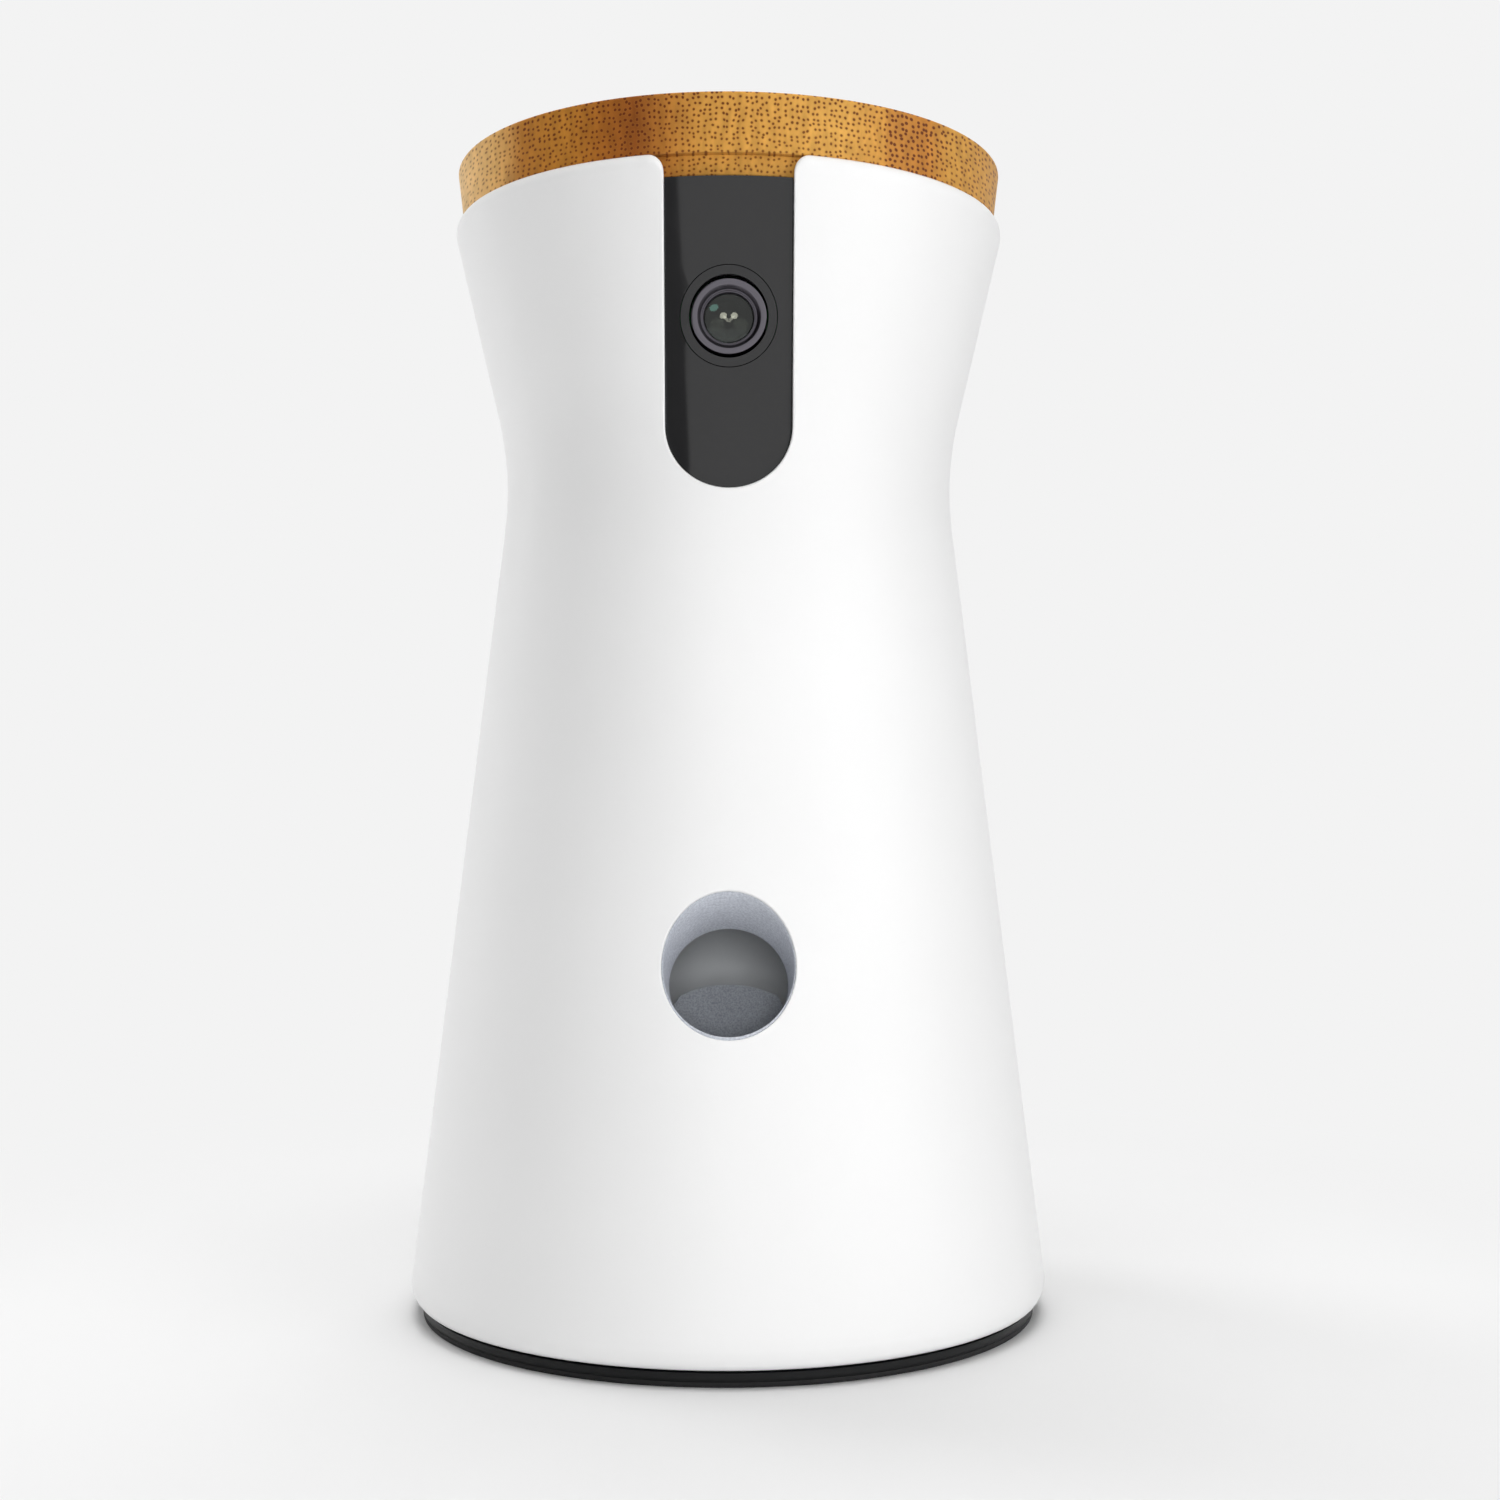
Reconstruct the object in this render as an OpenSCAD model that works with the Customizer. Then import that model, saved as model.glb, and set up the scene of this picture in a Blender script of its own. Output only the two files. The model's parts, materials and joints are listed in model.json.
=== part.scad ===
// Treat tossing pet camera: a waisted white body that turns on a black foot, with a camera behind a
// dark window, a wooden twist-off lid over a treat hopper, and a sprung arm that tosses treats out
// of a round chute. Millimetres, +Z up, the front faces -Y, and the origin is the middle of the foot
// on the table.

/* [Body] */
// Height of the closed object, from the table to the top of the lid
total_h = 222; // [221:0.5:224]
// Radius that the lower cone would have at table level
cone_foot_r = 62.46; // [62.3:0.02:62.6]
// How much the lower cone narrows for each millimetre of height
cone_taper = 0.1201; // [0.1195:0.0001:0.1205]
// Height of the narrowest place, the waist
waist_z = 159.35; // [159:0.05:159.6]
// Radius of the waist's blend, seen in profile
waist_blend_r = 62.4; // [61.5:0.1:63.5]
// How much the upper cone widens for each millimetre of height
flare = 0.2365; // [0.235:0.0005:0.238]
// Thickness of the moulded body wall
wall = 2.4; // [2.2:0.1:2.5]
// Height of the body's rim, where the lid sits
rim_z = 211.6; // [211.4:0.1:211.8]
// Height of the body's lower edge above the table
skirt_z = 2.95; // [2.8:0.05:3.1]
// Rounding of the lower edge
skirt_round = 2.2; // [1.6:0.1:2.3]

/* [Camera window] */
// Half the width of the window's slot
slot_half_w = 11.4; // [11.2:0.1:11.6]
// Height of the bottom of the slot
slot_bottom_z = 154.3; // [154:0.1:155]
// Height of the window's top edge
window_top_z = 207.5; // [207.2:0.1:207.6]
// How far the window lies below the body's surface
window_recess = 1.0; // [0.8:0.1:1.2]
// Height of the lens axis
lens_z = 184.2; // [183.5:0.1:185]

/* [Treat chute] */
// Height of the middle of the chute's mouth
chute_z = 70.7; // [70.2:0.1:71.2]
// Radius of the chute's mouth in the body wall
chute_r = 11.65; // [11.4:0.05:11.8]
// How steeply the chute climbs towards its mouth, in degrees
chute_tilt = 24; // [22:1:26]

/* [Tossing arm] */
// Distance from the arm's axle to the tip of its paddle
arm_len = 30; // [29:0.5:30.5]
// Width of the paddle
paddle_w = 21; // [20:0.5:21.5]
// How far the arm leans back from upright after a toss, in degrees
arm_lean = 15; // [14:1:16]

/* [Turning drive] */
// Teeth of the fixed ring gear in the foot
ring_teeth = 120; // [120:1:120]
// Teeth of the pinion that rolls round in it
pan_teeth = 15; // [15:1:15]
// Module of the ring gear, the feed gears and the arm's gears
gear_mod = 0.8; // [0.8:0.1:0.8]

/* [Treat feed] */
// Number of pockets in the feed disc
pockets = 6; // [5:1:6]
// Diameter of a pocket, which sets the largest treat
pocket_d = 13; // [12:0.5:13.5]

/* [Hidden] */
$fn = 64;

// Small gaps: between still pieces, and round a turning shaft
gap = 0.1;
run = 0.05;
big = 300;

// ---- Outline of the body ----
low_a = atan(cone_taper);
up_a = atan(flare);
blend_cr = cone_foot_r - cone_taper * (waist_z - waist_blend_r * sin(low_a))
    + waist_blend_r * cos(low_a);

// Radius of the body's surface at height z, moved inwards by off
function wall_r(z, off = 0) =
    let (r = waist_blend_r + off, z_low = waist_z - r * sin(low_a), z_up = waist_z + r * sin(up_a))
    z < z_low ? blend_cr - r * cos(low_a) + cone_taper * (z_low - z)
    : z > z_up ? blend_cr - r * cos(up_a) + flare * (z - z_up)
    : blend_cr - sqrt(r * r - pow(z - waist_z, 2));

// Points [radius, height] up that surface from z0 to z1, with the waist's blend as an arc
blend_steps = 14;
function wall_pts(z0, z1, off = 0) =
    let (r = waist_blend_r + off)
    concat([[wall_r(z0, off), z0]],
        [for (i = [0:blend_steps])
            let (a = -low_a + i * (low_a + up_a) / blend_steps, z = waist_z + r * sin(a))
            if (z > z0 + 0.2 && z < z1 - 0.2) [blend_cr - r * cos(a), z]],
        [[wall_r(z1, off), z1]]);

function reversed(list) = [for (i = [len(list) - 1:-1:0]) list[i]];
function arc_pts(cx, cy, r, a0, a1, n) =
    [for (i = [0:n]) [cx + r * cos(a0 + (a1 - a0) * i / n), cy + r * sin(a0 + (a1 - a0) * i / n)]];

// A solid of revolution between two offsets of the body's surface, or from the axis out
module wall_band(z0, z1, off0, off1) {
    rotate_extrude($fn = 96)
        polygon(concat(wall_pts(z0, z1, off0), reversed(wall_pts(z0, z1, off1))));
}
module wall_core(z0, z1, off) {
    rotate_extrude($fn = 96) polygon(concat([[0, z0]], wall_pts(z0, z1, off), [[0, z1]]));
}

// ---- Directions and simple solids ----
// An outline drawn in Y and Z, made solid from x0 to x1
module along_x(x0, x1) {
    translate([x0, 0, 0]) rotate([90, 0, 90]) linear_extrude(x1 - x0) children();
}
// An outline drawn in X and Z, made solid from y0 to y1
module along_y(y0, y1) {
    translate([0, y1, 0]) rotate([90, 0, 0]) linear_extrude(y1 - y0) children();
}
// A bar, pin or hole along X or Y
module rod_x(x0, x1, y, z, r) {
    translate([x0, y, z]) rotate([0, 90, 0]) cylinder(h = x1 - x0, r = r);
}
module rod_y(y0, y1, x, z, r) {
    translate([x, y1, z]) rotate([90, 0, 0]) cylinder(h = y1 - y0, r = r);
}
module block(x0, x1, y0, y1, z0, z1) {
    translate([x0, y0, z0]) cube([x1 - x0, y1 - y0, z1 - z0]);
}
module post(x, y, z0, z1, r) {
    translate([x, y, z0]) cylinder(h = z1 - z0, r = r);
}
module ring(z0, z1, r_in, r_out) {
    difference() {
        translate([0, 0, z0]) cylinder(h = z1 - z0, r = r_out, $fn = 96);
        translate([0, 0, z0 - 1]) cylinder(h = z1 - z0 + 2, r = r_in, $fn = 96);
    }
}
module mirrored_x() {
    children();
    mirror([1, 0, 0]) children();
}

// A screw with its seat at the origin, its head above and its shank below, and a cross recess
module screw(r, len) {
    head_r = 1.9 * r;
    head_h = 1.3 * r;
    slot_w = 0.5 * r;
    slot_l = 2.2 * r;
    difference() {
        union() {
            cylinder(h = head_h, r = head_r, $fn = 32);
            translate([0, 0, -len]) cylinder(h = len, r = r, $fn = 32);
        }
        translate([-slot_l / 2, -slot_w / 2, head_h * 0.45]) cube([slot_l, slot_w, head_h]);
        translate([-slot_w / 2, -slot_l / 2, head_h * 0.45]) cube([slot_w, slot_l, head_h]);
    }
}

// ---- Gear teeth ----
pressure_a = 20;
flank_play = 0.07;
// Height of a tooth above its pitch circle and depth of the gap below it, in modules
tooth_tip = 0.95;
tooth_root = 1.2;
function roll(a) = tan(a) * 180 / PI - a;
// Half the angle that a tooth fills at radius r
function tooth_half(r, n, m, play) =
    let (pitch_r = n * m / 2, base_r = pitch_r * cos(pressure_a))
    90 / n - play / pitch_r * 180 / PI + roll(pressure_a)
    - (r > base_r ? roll(acos(base_r / r)) : 0);
// One tooth's points, from its left foot over its tip to its right foot, with each flank in the
// given number of steps
function tooth_pts(n, m, root_r, tip_r, play, a, steps = 4) =
    let (rs = [for (i = [0:steps]) root_r + (tip_r - root_r) * i / steps])
    concat([for (r = rs) let (h = tooth_half(r, n, m, play)) [r * cos(a - h), r * sin(a - h)]],
        [for (r = reversed(rs)) let (h = tooth_half(r, n, m, play)) [r * cos(a + h), r * sin(a + h)]]);
// A whole gear's outline with a tooth at angle phase, teeth kept from angle a0 to a1 only
module gear_outline(n, m, phase = 0, a0 = -big, a1 = big) {
    mid_r = n * m / 2;
    root_r = mid_r - tooth_root * m;
    polygon([for (i = [0:n - 1])
        let (a = phase + i * 360 / n, w = a > a1 ? a - 360 : a)
        each (w >= a0 && w <= a1 ? tooth_pts(n, m, root_r, mid_r + m * tooth_tip, flank_play, a)
            : [[root_r * cos(a), root_r * sin(a)]])]);
}

// ---- Heights in the foot and the turning joint ----
foot_t = 0.6;
plate_top = 4;
flange_top = 2.5;
flange_r = 59.6;
flange_round = 0.9;
step_r = 56.4;
rubber_t = 1.4;
rubber_in = 50;
rubber_out = 57;
hub_r = 9;
hub_top = 19.65;
cable_r = 6;
deck_z = 17;
deck_top = 19.5;
race_r = 54;
race_in = 51.9;
race_out = 56.2;
ball_r = 1.4;
ball_z = 7.2;
balls = 24;
cage_t = 1.2;
ring_pitch_r = ring_teeth * gear_mod / 2;
ring_out_r = 51.4;
ring_top = 16;
ear_t = 1.6;
pan_pitch_r = pan_teeth * gear_mod / 2;
pan_r = ring_pitch_r - pan_pitch_r;
pan_a = 171;
stop_w = 2.4;
pocket_y0 = 19.3;
pocket_y1 = 44;
pocket_half_w = 7.5;
pocket_top = 10.2;
ring_screw_r = 46.5;
ring_screw_as = [30, 150, 270];
hub_screw_r = 7.5;
hub_screw_as = [90, 210, 330];
shell_screw_r = 48.5;
shell_screw_as = [45, 135, 225, 315];

// Holes for the two sizes of screw: where it threads in, and where it passes through
pilot_r = 1.05;
clear_r = 1.2;
thin_pilot_r = 0.85;
thin_clear_r = 0.95;

module around(as, r) {
    for (a = as) rotate([0, 0, a]) translate([r, 0, 0]) children();
}

// Black foot: a flat plate that carries the fixed half of the turning joint, a hollow hub for the
// power lead, the post of the turn stop, and an underside pocket for the power plug
module base_plate() {
    color("#232325") difference() {
        union() {
            rotate_extrude($fn = 96)
                polygon(concat([[0, foot_t]], arc_pts(flange_r - flange_round, foot_t + flange_round,
                    flange_round, -90, 0, 4),
                    [[flange_r, flange_top], [step_r, flange_top], [step_r, plate_top], [0, plate_top]]));
            cylinder(h = hub_top, r = hub_r);
            block(-pocket_half_w - 1.5, pocket_half_w + 1.5, pocket_y0 - 1.5, pocket_y1 + 1.5,
                plate_top - 1, pocket_top + 1.2);
            block(-stop_w / 2, stop_w / 2, -20, -15, plate_top - 1, 15.5);
        }
        ring(0, rubber_t, rubber_in, rubber_out);
        translate([0, 0, 2]) cylinder(h = hub_top, r = cable_r);
        block(-2, 2, 0, hub_r + 1, 5.6, 9.5);
        block(-pocket_half_w, pocket_half_w, pocket_y0, pocket_y1, -1, pocket_top);
        block(-4.6, 4.6, pocket_y0 - 2, pocket_y0 + 1, plate_top + 1.1, 8.5);
        block(-3, 3, pocket_y1 - 1, flange_r + 2, -1, 3);
        around(hub_screw_as, hub_screw_r) translate([0, 0, 12]) cylinder(h = 9, r = thin_pilot_r, $fn = 24);
        around(ring_screw_as, ring_screw_r) translate([0, 0, 1.4]) cylinder(h = 4, r = pilot_r, $fn = 24);
    }
}

// Rubber ring under the foot, with a gap where the cable leaves
module foot_ring() {
    color("#1b1b1c") difference() {
        ring(0, rubber_t, rubber_in + gap, rubber_out - gap);
        block(-3.6, 3.6, 40, 60, -1, 3);
    }
}

// Fixed internal gear that the turning pinion rolls round in
module ring_gear() {
    // Its teeth start at teeth_z and are short, so that the pinion's corners clear them
    teeth_z = 11;
    bore_r = 49.3;
    ear_r = 2.8;
    short_tip = 0.62;
    tip_r = ring_pitch_r - short_tip * gear_mod;
    root_r = ring_pitch_r + tooth_root * gear_mod;
    color("#c9c6bd") difference() {
        union() {
            difference() {
                translate([0, 0, plate_top]) cylinder(h = ring_top - plate_top, r = ring_out_r, $fn = 96);
                translate([0, 0, plate_top - 1]) cylinder(h = teeth_z - plate_top + 1, r = bore_r, $fn = 96);
                translate([0, 0, plate_top]) linear_extrude(20)
                    polygon([for (i = [0:ring_teeth - 1])
                        each tooth_pts(ring_teeth, gear_mod, tip_r, root_r, -flank_play,
                            i * 360 / ring_teeth, 2)]);
            }
            around(ring_screw_as, ring_screw_r) {
                translate([0, 0, plate_top]) cylinder(h = ear_t, r = ear_r, $fn = 32);
                translate([0, -ear_r, plate_top]) cube([4, 2 * ear_r, ear_t]);
            }
        }
        around(ring_screw_as, ring_screw_r) cylinder(h = 10, r = clear_r, $fn = 24);
    }
}
module ring_screws() {
    color("silver") around(ring_screw_as, ring_screw_r) translate([0, 0, plate_top + ear_t]) screw(1, 3.8);
}

// A race of the ball ring: a flat ring with a round groove towards the balls
module race(z0, z1, groove_up) {
    r = ball_r + run;
    edge = groove_up ? z1 : z0;
    half = sqrt(r * r - pow(edge - ball_z, 2));
    a = acos(half / r);
    groove = groove_up ? arc_pts(race_r, ball_z, r, -a, -180 + a, 8)
        : arc_pts(race_r, ball_z, r, 180 - a, a, 8);
    rotate_extrude($fn = 96)
        polygon(groove_up ? concat([[race_in, z0], [race_out, z0], [race_out, z1]], groove,
            [[race_in, z1]])
            : concat([[race_in, z1], [race_in, z0]], groove, [[race_out, z0], [race_out, z1]]));
}
module lower_race() {
    color("#b9bbbe") race(plate_top, 6.2, true);
}
module upper_race() {
    color("#b9bbbe") race(8.2, 10.2, false);
}

// Cage that keeps the balls apart, and the balls
module ball_cage() {
    color("#ddd9cf") difference() {
        ring(ball_z - cage_t / 2, ball_z + cage_t / 2, race_in, race_out - gap);
        around([for (i = [0:balls - 1]) i * 360 / balls], race_r)
            translate([0, 0, 5]) cylinder(h = 5, r = ball_r + gap, $fn = 24);
    }
}
module bearing_balls() {
    color("#c8cacc") around([for (i = [0:balls - 1]) i * 360 / balls], race_r)
        translate([0, 0, ball_z]) sphere(r = ball_r, $fn = 24);
}

// Ring screwed on top of the hub, which keeps the turntable from lifting
module hub_retainer() {
    color("#b9bbbe") difference() {
        ring(hub_top, 21.2, cable_r, 12);
        around(hub_screw_as, hub_screw_r) cylinder(h = 30, r = thin_clear_r, $fn = 24);
    }
}
module hub_screws() {
    color("silver") around(hub_screw_as, hub_screw_r) translate([0, 0, 21.2]) screw(0.8, 8);
}

// Small board with the power inlet, which faces into the plug pocket
board_t = 1.2;
module power_board() {
    color("#1f5b3a") block(-13, 13, 9.8, 17.6, plate_top, plate_top + board_t);
}
module power_socket() {
    z0 = plate_top + board_t;
    color("#c0c2c4") {
        difference() {
            block(-4.45, 4.45, 12, pocket_y0, z0, z0 + 3.2);
            block(-4.15, 4.15, 13, pocket_y0 + 1, z0 + 0.3, z0 + 2.9);
        }
        block(-3.3, 3.3, 12.5, pocket_y0 - 1, z0 + 1.25, z0 + 1.95);
    }
}

// ---- The turning frame ----
leg_front = [35, 38, -24, -17];
leg_back = [20.4, 23.4, 33, 38.5];
foot_front = [31.5, -20.5];
foot_back = [21.9, 28.5];
chassis_z = 118;
chassis_top = 120.5;
arm_y = -40;
arm_z = 36;
drop_y = -9.5;
outlet_r = 7.5;
well_y = 9;
motor_r = 14;
motor_off = 8;
motor_ear = 17.5;
toss_motor_r = 10;

// Angle in the Y-Z plane from the arm's axle to the drive gear's pin, and the gears' sizes
drive_a = -10;
arm_teeth = 40;
drive_teeth = 20;
fine_mod = 0.5;
big_teeth = 40;
toss_teeth = 12;
drive_dist = (arm_teeth + drive_teeth) * gear_mod / 2;
drive_y = arm_y + drive_dist * cos(drive_a);
drive_z = arm_z + drive_dist * sin(drive_a);
motor_y = drive_y + (big_teeth + toss_teeth) * fine_mod / 2;
arm_travel = 55;

// Places of the pan motor and the feed motor
pan_x = pan_r * cos(pan_a);
pan_y = pan_r * sin(pan_a);
feed_teeth = 20;
feed_pin_teeth = 12;
feed_y = well_y + (feed_teeth + feed_pin_teeth) * gear_mod / 2;

// Screws that hold the chassis, the toss chamber and the hopper, and the speaker's ears
speaker_ear = 18.8;
chamber_feet = [[18.6, -42], [18.6, -8]];
hopper_feet = [[20, 0], [-20, 0], [12, 30.5]];

// Deck of the turning part: it rides on the ball ring, turns on the hub and carries the rest
module turntable() {
    color("#e4e4e1") difference() {
        union() {
            translate([0, 0, deck_z]) cylinder(h = deck_top - deck_z, r = 57.2, $fn = 96);
            ring(10.2, deck_z + 1, 52.3, 56.2);
            translate([0, 0, 14]) cylinder(h = 5, r = 12);
            around([30, 90, 150, 210, 270, 330], 0) block(11, 46.4, -0.8, 0.8, 15.8, deck_z + 1);
            block(-stop_w / 2, stop_w / 2, 15, 20, 12.2, deck_z + 1);
            block(27, 46, motor_y - 7.5, motor_y + 7.5, deck_top - 1, drive_z - 5);
        }
        translate([0, 0, 5]) cylinder(h = 20, r = hub_r + run);
        post(pan_x, pan_y, 5, 25, 4.7);
        rod_x(20, 50, motor_y, drive_z, toss_motor_r + run);
        around(shell_screw_as, shell_screw_r) {
            translate([0, 0, 10]) cylinder(h = 20, r = 1.35, $fn = 24);
            translate([0, 0, 10]) cylinder(h = 8.3, r = 2.7, $fn = 24);
        }
        mirrored_x() {
            post(foot_front[0], foot_front[1], 10, 25, pilot_r);
            post(foot_back[0], foot_back[1], 10, 25, pilot_r);
            for (p = chamber_feet) post(p[0], p[1], 10, 25, pilot_r);
        }
        motor_holes(pan_x, pan_y, pan_a + 180, 10, 25, pilot_r);
    }
}

// The four corners of what a geared motor needs: its body is off its shaft towards angle dir
module motor_holes(x, y, dir, z0, z1, r) {
    translate([x, y, 0]) rotate([0, 0, dir]) for (s = [-1, 1]) post(motor_off, s * motor_ear, z0, z1, r);
}

// Small geared stepper motor: a round can, two ears, a shaft collar and a box for its leads. Its
// mounting face lies at z, and up is 1 with the can above the face, or -1 below it
module geared_motor(x, y, dir, z, up) {
    translate([x, y, z]) rotate([0, 0, dir]) mirror([0, 0, up > 0 ? 0 : 1]) difference() {
        union() {
            translate([motor_off, 0, 0]) cylinder(h = 19, r = motor_r);
            translate([0, 0, -1.5]) cylinder(h = 3, r = 4.5);
            translate([motor_off, -motor_ear, 0]) cylinder(h = 0.8, r = 3.5, $fn = 32);
            translate([motor_off, motor_ear, 0]) cylinder(h = 0.8, r = 3.5, $fn = 32);
            translate([motor_off - 3.5, -motor_ear, 0]) cube([7, 2 * motor_ear, 0.8]);
            translate([motor_off, -7.3, 1.5]) cube([motor_r + 3, 14.6, 16]);
        }
        translate([0, 0, -2]) cylinder(h = 9, r = 2.5 + run);
        for (s = [-1, 1]) translate([motor_off, s * motor_ear, -1]) cylinder(h = 3, r = 1.25, $fn = 24);
    }
}
module pan_motor() {
    color("#b4b7ba") geared_motor(pan_x, pan_y, pan_a + 180, deck_top, 1);
}
module feed_motor() {
    color("#b4b7ba") geared_motor(0, feed_y, 180, chassis_z, -1);
}
module motor_screws() {
    color("silver") {
        translate([pan_x, pan_y, deck_top + 0.8]) rotate([0, 0, pan_a + 180])
            for (s = [-1, 1]) translate([motor_off, s * motor_ear, 0]) screw(1, 3);
        translate([0, feed_y, chassis_z - 0.8]) rotate([0, 0, 180]) mirror([0, 0, 1])
            for (s = [-1, 1]) translate([motor_off, s * motor_ear, 0]) screw(1, 3);
    }
}

// Small toss motor along X: a can with two flats, a bearing nose and a rear cap
module toss_motor() {
    x0 = 24.6;
    x1 = 46;
    flat_h = 7.7;
    color("#c2c4c6") difference() {
        union() {
            intersection() {
                rod_x(x0, x1, motor_y, drive_z, toss_motor_r);
                block(x0 - 1, x1 + 1, motor_y - 20, motor_y + 20, drive_z - flat_h, drive_z + flat_h);
            }
            rod_x(x0 - 1.2, x0 + 1, motor_y, drive_z, 3);
            rod_x(x1 - 1, x1 + 2, motor_y, drive_z, 4.5);
        }
        rod_x(x0 - 2, x0 + 8, motor_y, drive_z, 1 + run);
    }
}

// Frame that stands on the turntable and carries the hopper, the feed motor and the main board
module leg(f) {
    block(f[0], f[1], f[2], f[3], deck_top, chassis_top);
}
module chassis() {
    bar_y0 = 35.6;
    shelf_r = 44.8;
    color("#e9e9e6") difference() {
        union() {
            difference() {
                translate([0, 0, chassis_z]) cylinder(h = chassis_top - chassis_z, r = shelf_r, $fn = 96);
                block(-60, 60, -60, -25.5, 110, 130);
            }
            mirrored_x() {
                leg(leg_front);
                leg(leg_back);
                block(28, leg_front[0] + 1, leg_front[2], leg_front[3], deck_top, deck_top + 2.5);
                block(18.4, 25.4, 25, leg_back[2] + 1, deck_top, deck_top + 2.5);
                block(leg_back[0], leg_back[0] + 2, leg_back[3] - 1, 49, 37, 47);
                block(17.6, leg_back[0] + 2, 47, 49, 37, 47);
            }
            for (z = [60, 92]) block(-leg_back[0] - 1, leg_back[0] + 1, bar_y0, leg_back[3], z, z + 4);
        }
        post(0, drop_y, 110, 130, 9.4);
        post(0, feed_y, 110, 130, 4.7);
        motor_holes(0, feed_y, 180, 110, 130, pilot_r);
        for (p = hopper_feet) post(p[0], p[1], 110, 130, clear_r);
        mirrored_x() {
            post(foot_front[0], foot_front[1], 15, 30, clear_r);
            post(foot_back[0], foot_back[1], 15, 30, clear_r);
            block(24, 34, -13, 12, 110, 130);
            for (z = [62, 94]) rod_y(30, 45, 17, z, thin_pilot_r);
            rod_y(46, 50, speaker_ear, grille_z, thin_pilot_r);
            rod_x(10, 40, 35.75, 70, 2.4);
            rod_x(10, 40, 35.75, 80, 2.4);
        }
        for (x = [-12, 12]) post(x, drop_y, 110, 130, thin_pilot_r);
    }
}
module frame_screws() {
    color("silver") {
        mirrored_x() {
            translate([foot_front[0], foot_front[1], deck_top + 2.5]) screw(1, 4.8);
            translate([foot_back[0], foot_back[1], deck_top + 2.5]) screw(1, 4.8);
            for (p = chamber_feet) translate([p[0], p[1], deck_top + 2]) screw(1, 4.3);
        }
        for (p = hopper_feet) translate([p[0], p[1], chassis_z]) mirror([0, 0, 1]) screw(1, 7);
    }
}

// ---- Body shell ----
// Outline of the window's slot: a U with the width half_w, open at the top, with rounded mouth
// corners where mouth_r is given
slot_mouth_r = 3.5;
above_z = 215;
module slot_outline(half_w, bottom_z, top_z, mouth_r) {
    c = bottom_z + half_w;
    mouth = mouth_r > 0
        ? concat(arc_pts(half_w + mouth_r, rim_z - mouth_r, mouth_r, 180, 90, 8),
            [[half_w + mouth_r, top_z]])
        : [[half_w, top_z]];
    right = concat(arc_pts(0, c, half_w, -90, 0, 16), mouth);
    polygon(concat([for (p = reversed(right)) [-p[0], p[1]]], [for (i = [1:len(right) - 1]) right[i]]));
}

// Direction of the chute: a place d millimetres inwards along its axis from its mouth
chute_y = -wall_r(chute_z);
module chute_frame() {
    translate([0, chute_y, chute_z]) rotate([-90 - chute_tilt, 0, 0]) children();
}

// Speaker holes at the back: rows of a triangular pattern inside a circle
grille_z = 42;
grille_pitch = 3.4;
grille_r = 12;
grille_rows = 4;
module grille_holes() {
    for (i = [-grille_rows:grille_rows], j = [-grille_rows:grille_rows]) {
        x = (i + (j % 2 == 0 ? 0 : 0.5)) * grille_pitch;
        z = j * grille_pitch * sin(60);
        if (sqrt(x * x + z * z) < grille_r) rod_y(40, 70, x, grille_z + z, 0.9, $fn = 20);
    }
}

module outer_shell() {
    lip_z = 208.8;
    lip_r = 52.4;
    boss_r = 3.2;
    boss_h = 12;
    lip = [for (i = [1:6]) let (a = i * 15)
        [lip_r + (wall_r(lip_z) - lip_r) * cos(a), lip_z + (rim_z - lip_z) * sin(a)]];
    edge_r = wall_r(skirt_z + skirt_round);
    color("#f6f6f4") difference() {
        union() {
            rotate_extrude($fn = 96)
                polygon(concat(
                    arc_pts(edge_r - skirt_round, skirt_z + skirt_round, skirt_round, -90, 0, 6),
                    wall_pts(skirt_z + skirt_round + 0.3, lip_z),
                    lip,
                    reversed(wall_pts(skirt_z, rim_z, wall))));
            around(shell_screw_as, shell_screw_r) {
                translate([0, 0, deck_top]) cylinder(h = boss_h, r = boss_r);
                translate([0, -0.8, deck_top]) cube([wall_r(32) - shell_screw_r - 1, 1.6, boss_h]);
            }
        }
        along_y(-70, -20) slot_outline(slot_half_w, slot_bottom_z, above_z, slot_mouth_r);
        chute_frame() translate([0, 0, -12]) cylinder(h = 22, r = chute_r);
        grille_holes();
        around(shell_screw_as, shell_screw_r) cylinder(h = 30, r = pilot_r, $fn = 24);
    }
}
module shell_screws() {
    color("silver") around(shell_screw_as, shell_screw_r)
        translate([0, 0, deck_z + 1.3]) mirror([0, 0, 1]) screw(1.0, 9);
}

// ---- Camera ----
window_t = 2.2;
trim_r = 8.7;
barrel_r = 6.7;
barrel_y = wall_r(lens_z, window_recess) - 1.2;
camera_board_y = 25.8;

// Dark window in the slot: a plateau that fills it, and a flange behind the wall
module camera_window() {
    color("#3a3a3b") difference() {
        union() {
            intersection() {
                wall_band(slot_bottom_z - 1, window_top_z, window_recess, window_recess + window_t);
                along_y(-70, -20) slot_outline(slot_half_w - gap, slot_bottom_z + gap, above_z, 0);
            }
            intersection() {
                wall_band(slot_bottom_z - 3, 202.5, wall + run, wall + 1.4);
                along_y(-70, -20) slot_outline(slot_half_w + 2.8, slot_bottom_z - 2.8, above_z, 0);
            }
        }
        rod_y(-60, -30, 0, lens_z, trim_r);
    }
}
module lens_trim() {
    color("#3d3d3e") intersection() {
        wall_band(lens_z - 12, lens_z + 12, window_recess, window_recess + window_t);
        difference() {
            rod_y(-60, -30, 0, lens_z, trim_r - 0.15);
            rod_y(-61, -29, 0, lens_z, barrel_r + 0.35);
        }
    }
}

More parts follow.
